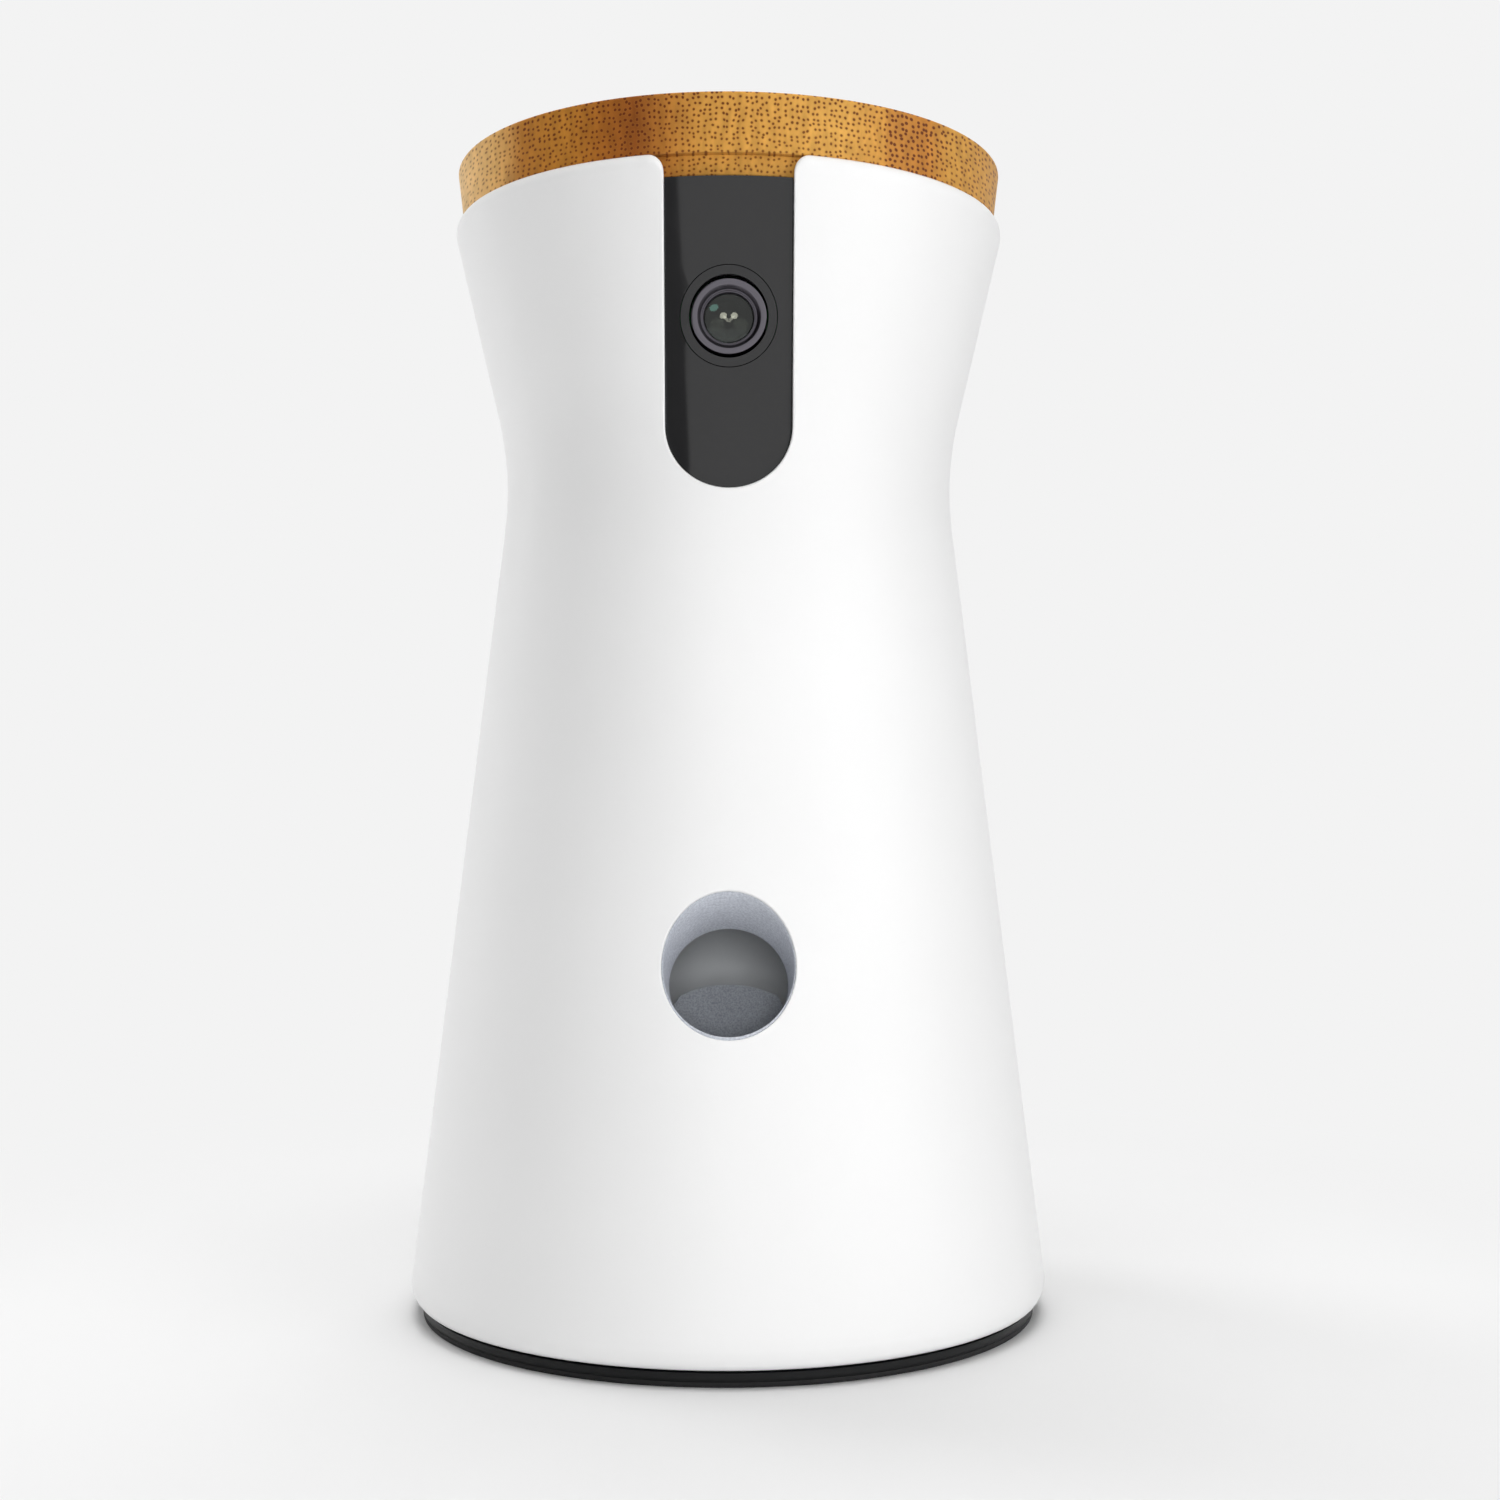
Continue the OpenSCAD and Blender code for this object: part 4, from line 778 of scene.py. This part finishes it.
# ---- Camera lens ----
# Radius and depth below its front, from the rear over the outside to the front and into the bore,
# where a threaded ring holds the glass
BARREL_PROFILE = ((3.6, 26.6), (6.7, 26.6), (6.7, 12.0), (6.7, 5.0), (6.7, 0.24), (6.66, 0.1),
                  (6.54, 0.02), (6.4, 0.0), (5.72, 0.0), (5.64, 0.02), (5.58, 0.09), (5.1, 0.72),
                  (5.06, 0.8), (5.06, 1.05), (4.98, 1.05), (4.98, 0.93), (4.95, 0.9), (4.78, 0.9),
                  (4.75, 0.93), (4.72, 1.15), (4.56, 1.15), (4.54, 1.17), (4.42, 1.55),
                  (4.4, 1.6), (4.4, 2.1), (4.95, 2.1), (4.95, 4.8), (3.6, 4.8), (3.6, 12.0))
# The front glass: its radius, its dome's radius, the depths of its front and back, and the radii
# of its rings, from one near the axis outwards
GLASS_R, GLASS_DOME, GLASS_FRONT, GLASS_BACK = 4.9, 26.0, 1.73, 3.6
GLASS_RINGS = (0.02, 0.4, 0.9, 1.4, 1.9, 2.4, 2.9, 3.4, 3.9, 4.4, GLASS_R)
# The front of the lens lies along the sloping window, down to this depth, and is straight behind.
# It is this much lower than wide, as the ring in the photograph is
SLOPED_TO, STRAIGHT_FROM = 5.0, 12.0
LENS_LOWER = 0.045


def lens_point(r, depth, a):
    """A point of the lens at its radius, its depth below the barrel's front and its angle."""
    x, up = r * math.cos(a), r * math.sin(a)
    share = min(1.0, max(0.0, (STRAIGHT_FROM - depth) / (STRAIGHT_FROM - SLOPED_TO)))
    up *= 1 - LENS_LOWER * share
    return x, depth - BARREL_Y - up * FLARE * share, LENS_Z + up


def turned(bm, profile, closed):
    """A turned part of the lens, from its radii and depths. Where the profile isn't closed, a flat
    cap ends it at each end."""
    rows = [[lens_point(r, depth, a) for a in ring_angles(LENS_POINTS)] for r, depth in profile]
    strip(bm, rows + rows[:1] if closed else rows, closed=True)
    if not closed:
        cap(bm, rows[0])
        cap(bm, rows[-1])


def lens_barrel():
    """Turned barrel with rounded edges, a coned mouth and the ring that holds the front glass."""
    bm = bmesh.new()
    turned(bm, BARREL_PROFILE, True)
    return piece("barrel", bm, "rotor", "anodised_black", "lens_barrel")


def glass():
    """Front glass: domed in front, flat at the back, with a ground edge."""
    bm = bmesh.new()
    dome = [(r, GLASS_FRONT + GLASS_DOME - math.sqrt(GLASS_DOME ** 2 - r * r))
            for r in GLASS_RINGS]
    turned(bm, [*dome, (GLASS_R, GLASS_BACK), (GLASS_RINGS[0], GLASS_BACK)], False)
    return piece("front_glass", bm, "rotor", "coated_glass", "front_lens")


# ---- Chute sleeve ----
# Its radii: outside and inside at its lip in the wall, outside and inside behind the wall, and
# inside at its end, and how far along the chute that end lies
LIP_OUT, LIP_IN, LINER_OUT, LINER_IN = 11.6, 11.45, 11.27, 11.2
LINER_END_R, LINER_END = 10.5, 11.15
# Depths below the body's surface of its front edge, the end of that edge's small rounding and the
# lip's back, and the rounding's width
LIP_FRONT, LIP_ROUNDED, LIP_BACK, LIP_ROUND = 0.31, 0.36, WALL + 0.05, 0.03


def chute_liner():
    """The chute's smooth sleeve, which lines the hole through the body and narrows inwards."""
    bm = bmesh.new()
    angles = ring_angles(HOLE_POINTS)
    rows = [[chute_point(a, r, off, 0.0, taller) for a in angles] for r, off, taller in (
        (LINER_OUT, LIP_BACK, EXACTLY_ROUND), (LIP_OUT, LIP_BACK, MOUTH_TALLER),
        (LIP_OUT, LIP_ROUNDED, MOUTH_TALLER), (LIP_OUT - LIP_ROUND, LIP_FRONT, MOUTH_TALLER),
        (LIP_IN + LIP_ROUND, LIP_FRONT, LINER_TALLER), (LIP_IN, LIP_ROUNDED, LINER_TALLER),
        (LINER_IN, LIP_BACK, EXACTLY_ROUND))]
    for r in (LINER_END_R, LINER_OUT):
        rows.append([chute_place(r * math.cos(a), r * math.sin(a), LINER_END) for a in angles])
    strip(bm, rows + rows[:1], closed=True)
    return piece("chute_liner", bm, "rotor", "grey_abs")


# ---- Foot ----
# Radius and height of the rubber ring under the foot, whose outer edge fills the gap below the
# plate, and half the angle of its gap for the power lead
PAD_PROFILE = ((50.05, 0.0), (59.2, 0.0), (59.36, 0.05), (59.44, 0.2), (59.46, 0.8),
               (59.42, 0.92), (59.32, 0.8), (59.12, 0.66), (58.7, 0.56), (56.95, 0.56),
               (56.95, 1.36), (50.05, 1.36))
PAD_GAP = 4.0


def foot_pad():
    """Rubber ring the foot stands on, open at the back."""
    bm = bmesh.new()
    turns = [math.radians(a) for a in spread(90 + PAD_GAP, 450 - PAD_GAP, PAD_STEP)]
    rows = [[(r * math.cos(a), r * math.sin(a), z) for a in turns] for r, z in PAD_PROFILE]
    strip(bm, rows + rows[:1])
    for end in (0, -1):
        cap(bm, [row[end] for row in rows])
    return piece("foot_pad", bm, "base", "foot_rubber", "foot_ring")


body_shell()
lens_barrel()
FRONT_GLASS = glass()
chute_liner()
foot_pad()

# ---- Studio, in metres ----
BACKDROP, FLOOR_COLOUR, CLOTH = "#f3f3f3", "#ececec", "#222223"
# The floor's radius and sides, and the distances between which it fades to the backdrop's tone
FLOOR_R, FLOOR_SIDES, FADE_FROM, FADE_TO = 6.0, 96, 0.09, 0.27
# The cloth's distance and height, the azimuths of its sides, how many degrees its right one
# leans, and the height of its rows and the degrees between its columns
CLOTH_R, CLOTH_H, CLOTH_FROM, CLOTH_TO, CLOTH_LEAN = 0.6, 0.75, -20.5, -85, 3.5
CLOTH_CELL, CLOTH_STEP = 0.05, 4
OBJECT_MIDDLE = (0, 0, 0.11)
# The lamps of the glass's own spots: their distance, the elevation at which its middle mirrors one
# to the camera, and how far a spot's place turns the lamp, in degrees to a millimetre
SPOT_FAR, SPOT_UP, SPOT_TURN = 0.45, -12.9, math.degrees(2 / GLASS_DOME)
ONLY_GLASS = bpy.data.collections.new("only_glass")
ONLY_GLASS.objects.link(FRONT_GLASS)


def seen(tree):
    """1 where a surface is seen by the camera, in a gloss or through glass, and 0 elsewhere."""
    path = add(tree, "ShaderNodeLightPath")
    mirrored = add(tree, "ShaderNodeMath", {0: path.outputs["Is Camera Ray"],
                                            1: path.outputs["Is Glossy Ray"]}, operation="MAXIMUM")
    return add(tree, "ShaderNodeMath", {0: mirrored.outputs["Value"],
                                        1: path.outputs["Is Transmission Ray"]},
               operation="MAXIMUM").outputs["Value"]


def floor():
    """Pale floor, which fades to the backdrop's tone away from the object but keeps its shadow."""
    bm = bmesh.new()
    bmesh.ops.create_circle(bm, cap_ends=True, segments=FLOOR_SIDES, radius=FLOOR_R)
    material, tree, shader = finish("pale_floor", FLOOR_COLOUR, 0.7, Specular_IOR_Level=0.2)
    far = add(tree, "ShaderNodeVectorMath", {0: on_piece(tree)}, operation="LENGTH")
    fade = add(tree, "ShaderNodeMapRange",
               {"Value": far.outputs["Value"], "From Min": FADE_FROM, "From Max": FADE_TO},
               interpolation_type="SMOOTHSTEP")
    share = add(tree, "ShaderNodeMath", {0: fade.outputs["Result"], 1: seen(tree)},
                operation="MULTIPLY")
    glow = add(tree, "ShaderNodeEmission", {"Color": linear(BACKDROP), "Strength": 1.0})
    mix = add(tree, "ShaderNodeMixShader", {0: share.outputs["Value"], 1: shader.outputs["BSDF"],
                                            2: glow.outputs["Emission"]})
    tree.links.new(mix.outputs["Shader"], tree.nodes["Material Output"].inputs["Surface"])
    made = in_scene("floor", bm, material)


def backdrop():
    """The world: the backdrop's tone where it is seen or mirrored, and no light of its own."""
    world = bpy.data.worlds.new("studio")
    SCENE.world = world
    world.use_nodes = True
    tree = world.node_tree
    tree.nodes.clear()
    shown = add(tree, "ShaderNodeBackground", {"Color": linear(BACKDROP), "Strength": seen(tree)})
    add(tree, "ShaderNodeOutputWorld", {"Surface": shown.outputs["Background"]})


def black_cloth():
    """A black cloth hung at the left of the camera, which only glossy surfaces mirror."""
    bm = bmesh.new()
    rows = []
    for z in spread(0, CLOTH_H, CLOTH_CELL):
        turns = spread(CLOTH_FROM + CLOTH_LEAN * z / CLOTH_H, CLOTH_TO, CLOTH_STEP)
        rows.append([(CLOTH_R * math.sin(math.radians(a)) / MM,
                      -CLOTH_R * math.cos(math.radians(a)) / MM, z / MM) for a in turns])
    strip(bm, rows)
    made = in_scene("black_cloth", bm, finish("black_cloth", CLOTH, 0.9)[0])
    for way in ("camera", "diffuse", "transmission", "volume_scatter", "shadow"):
        setattr(made, "visible_" + way, False)


def lamp(name, target, azimuth, elevation, distance, size, power, roll=0.0, colour="#ffffff"):
    """A soft lamp aimed at the target. Azimuth 0 is the camera's side and 90 the right."""
    light = bpy.data.lights.new(name, "AREA")
    light.shape = "RECTANGLE"
    light.size, light.size_y = size
    light.energy = power
    light.color = linear(colour)[:3]
    made = bpy.data.objects.new(name, light)
    SCENE.collection.objects.link(made)
    a, e = math.radians(azimuth), math.radians(elevation)
    away = Vector((math.sin(a) * math.cos(e), -math.cos(a) * math.cos(e), math.sin(e)))
    made.location = Vector(target) + away * distance
    rolled = Quaternion((0, 0, 1), math.radians(roll))
    made.rotation_euler = (away.to_track_quat("Z", "Y") @ rolled).to_euler()
    made.visible_camera = False
    return made


def softbox(name, azimuth, elevation, distance, width, height, power, mirrored=False):
    """A large lamp that lights the object's middle, which glossy surfaces mirror or not."""
    made = lamp(name, OBJECT_MIDDLE, azimuth, elevation, distance, (width, height), power)
    made.visible_glossy = mirrored


def catchlight(name, x, up, width, height, glow, roll=0.0, colour="#fdfbe8"):
    """A small lamp that shows only as a spot in the front glass, at x and up from its middle. Its
    size is that of the spot, all in millimetres."""
    wide, high = (2 * SPOT_FAR * size / GLASS_DOME for size in (width, height))
    power = glow * math.pi * wide * high
    made = lamp(name, (0, -BARREL_Y * MM, LENS_Z * MM), x * SPOT_TURN, up * SPOT_TURN + SPOT_UP,
                SPOT_FAR, (wide, high), power, roll, colour)
    made.data.shape = "ELLIPSE"
    made.light_linking.receiver_collection = ONLY_GLASS


floor()
backdrop()
black_cloth()
softbox("key_low", 3, 4, 1.0, 0.35, 0.3, 2.75)
softbox("key_high", 8, 24, 1.0, 0.5, 0.5, 0.65)
softbox("key_side", 47, 12, 1.1, 0.6, 0.8, 3.15)
softbox("key_right", 70, 12, 1.1, 0.6, 0.8, 1.05, mirrored=True)
softbox("rim_left", -125, 10, 1.1, 0.5, 0.8, 6.9)
softbox("top", 0, 85, 1.2, 0.8, 0.8, 11.0)
softbox("top_back", 180, 60, 1.3, 0.8, 0.8, 5.1)
for side in (-1, 1):
    catchlight("eye", side * 1.05, 0.5, 1.3, 1.2, 5.6)
    catchlight("eye_tail", side * 0.55, -0.1, 0.5, 1.6, 3.0, roll=side * -38)
catchlight("bloom", -2.8, 2.1, 1.7, 1.3, 3.0, roll=20, colour="#9fe0d2")

# ---- Camera ----
# Where the photographed view was taken from, and its lens on a 36 mm sensor
CAMERA_Y, CAMERA_Z = -0.40166, 0.09869
TILT, TURN = math.radians(1.434), math.radians(0.603)
SENSOR_MM, LENS_MM, CLIP_FROM = 36.0, 48.52, 0.01
camera = bpy.data.objects.new("camera", bpy.data.cameras.new("camera"))
camera.data.sensor_width = SENSOR_MM
camera.data.lens = LENS_MM
camera.data.clip_start = CLIP_FROM
camera.location = (0, CAMERA_Y, CAMERA_Z)
camera.rotation_euler = (math.pi / 2 + TILT, 0, -TURN)
SCENE.collection.objects.link(camera)
SCENE.camera = camera
SCENE.view_settings.view_transform = "Standard"
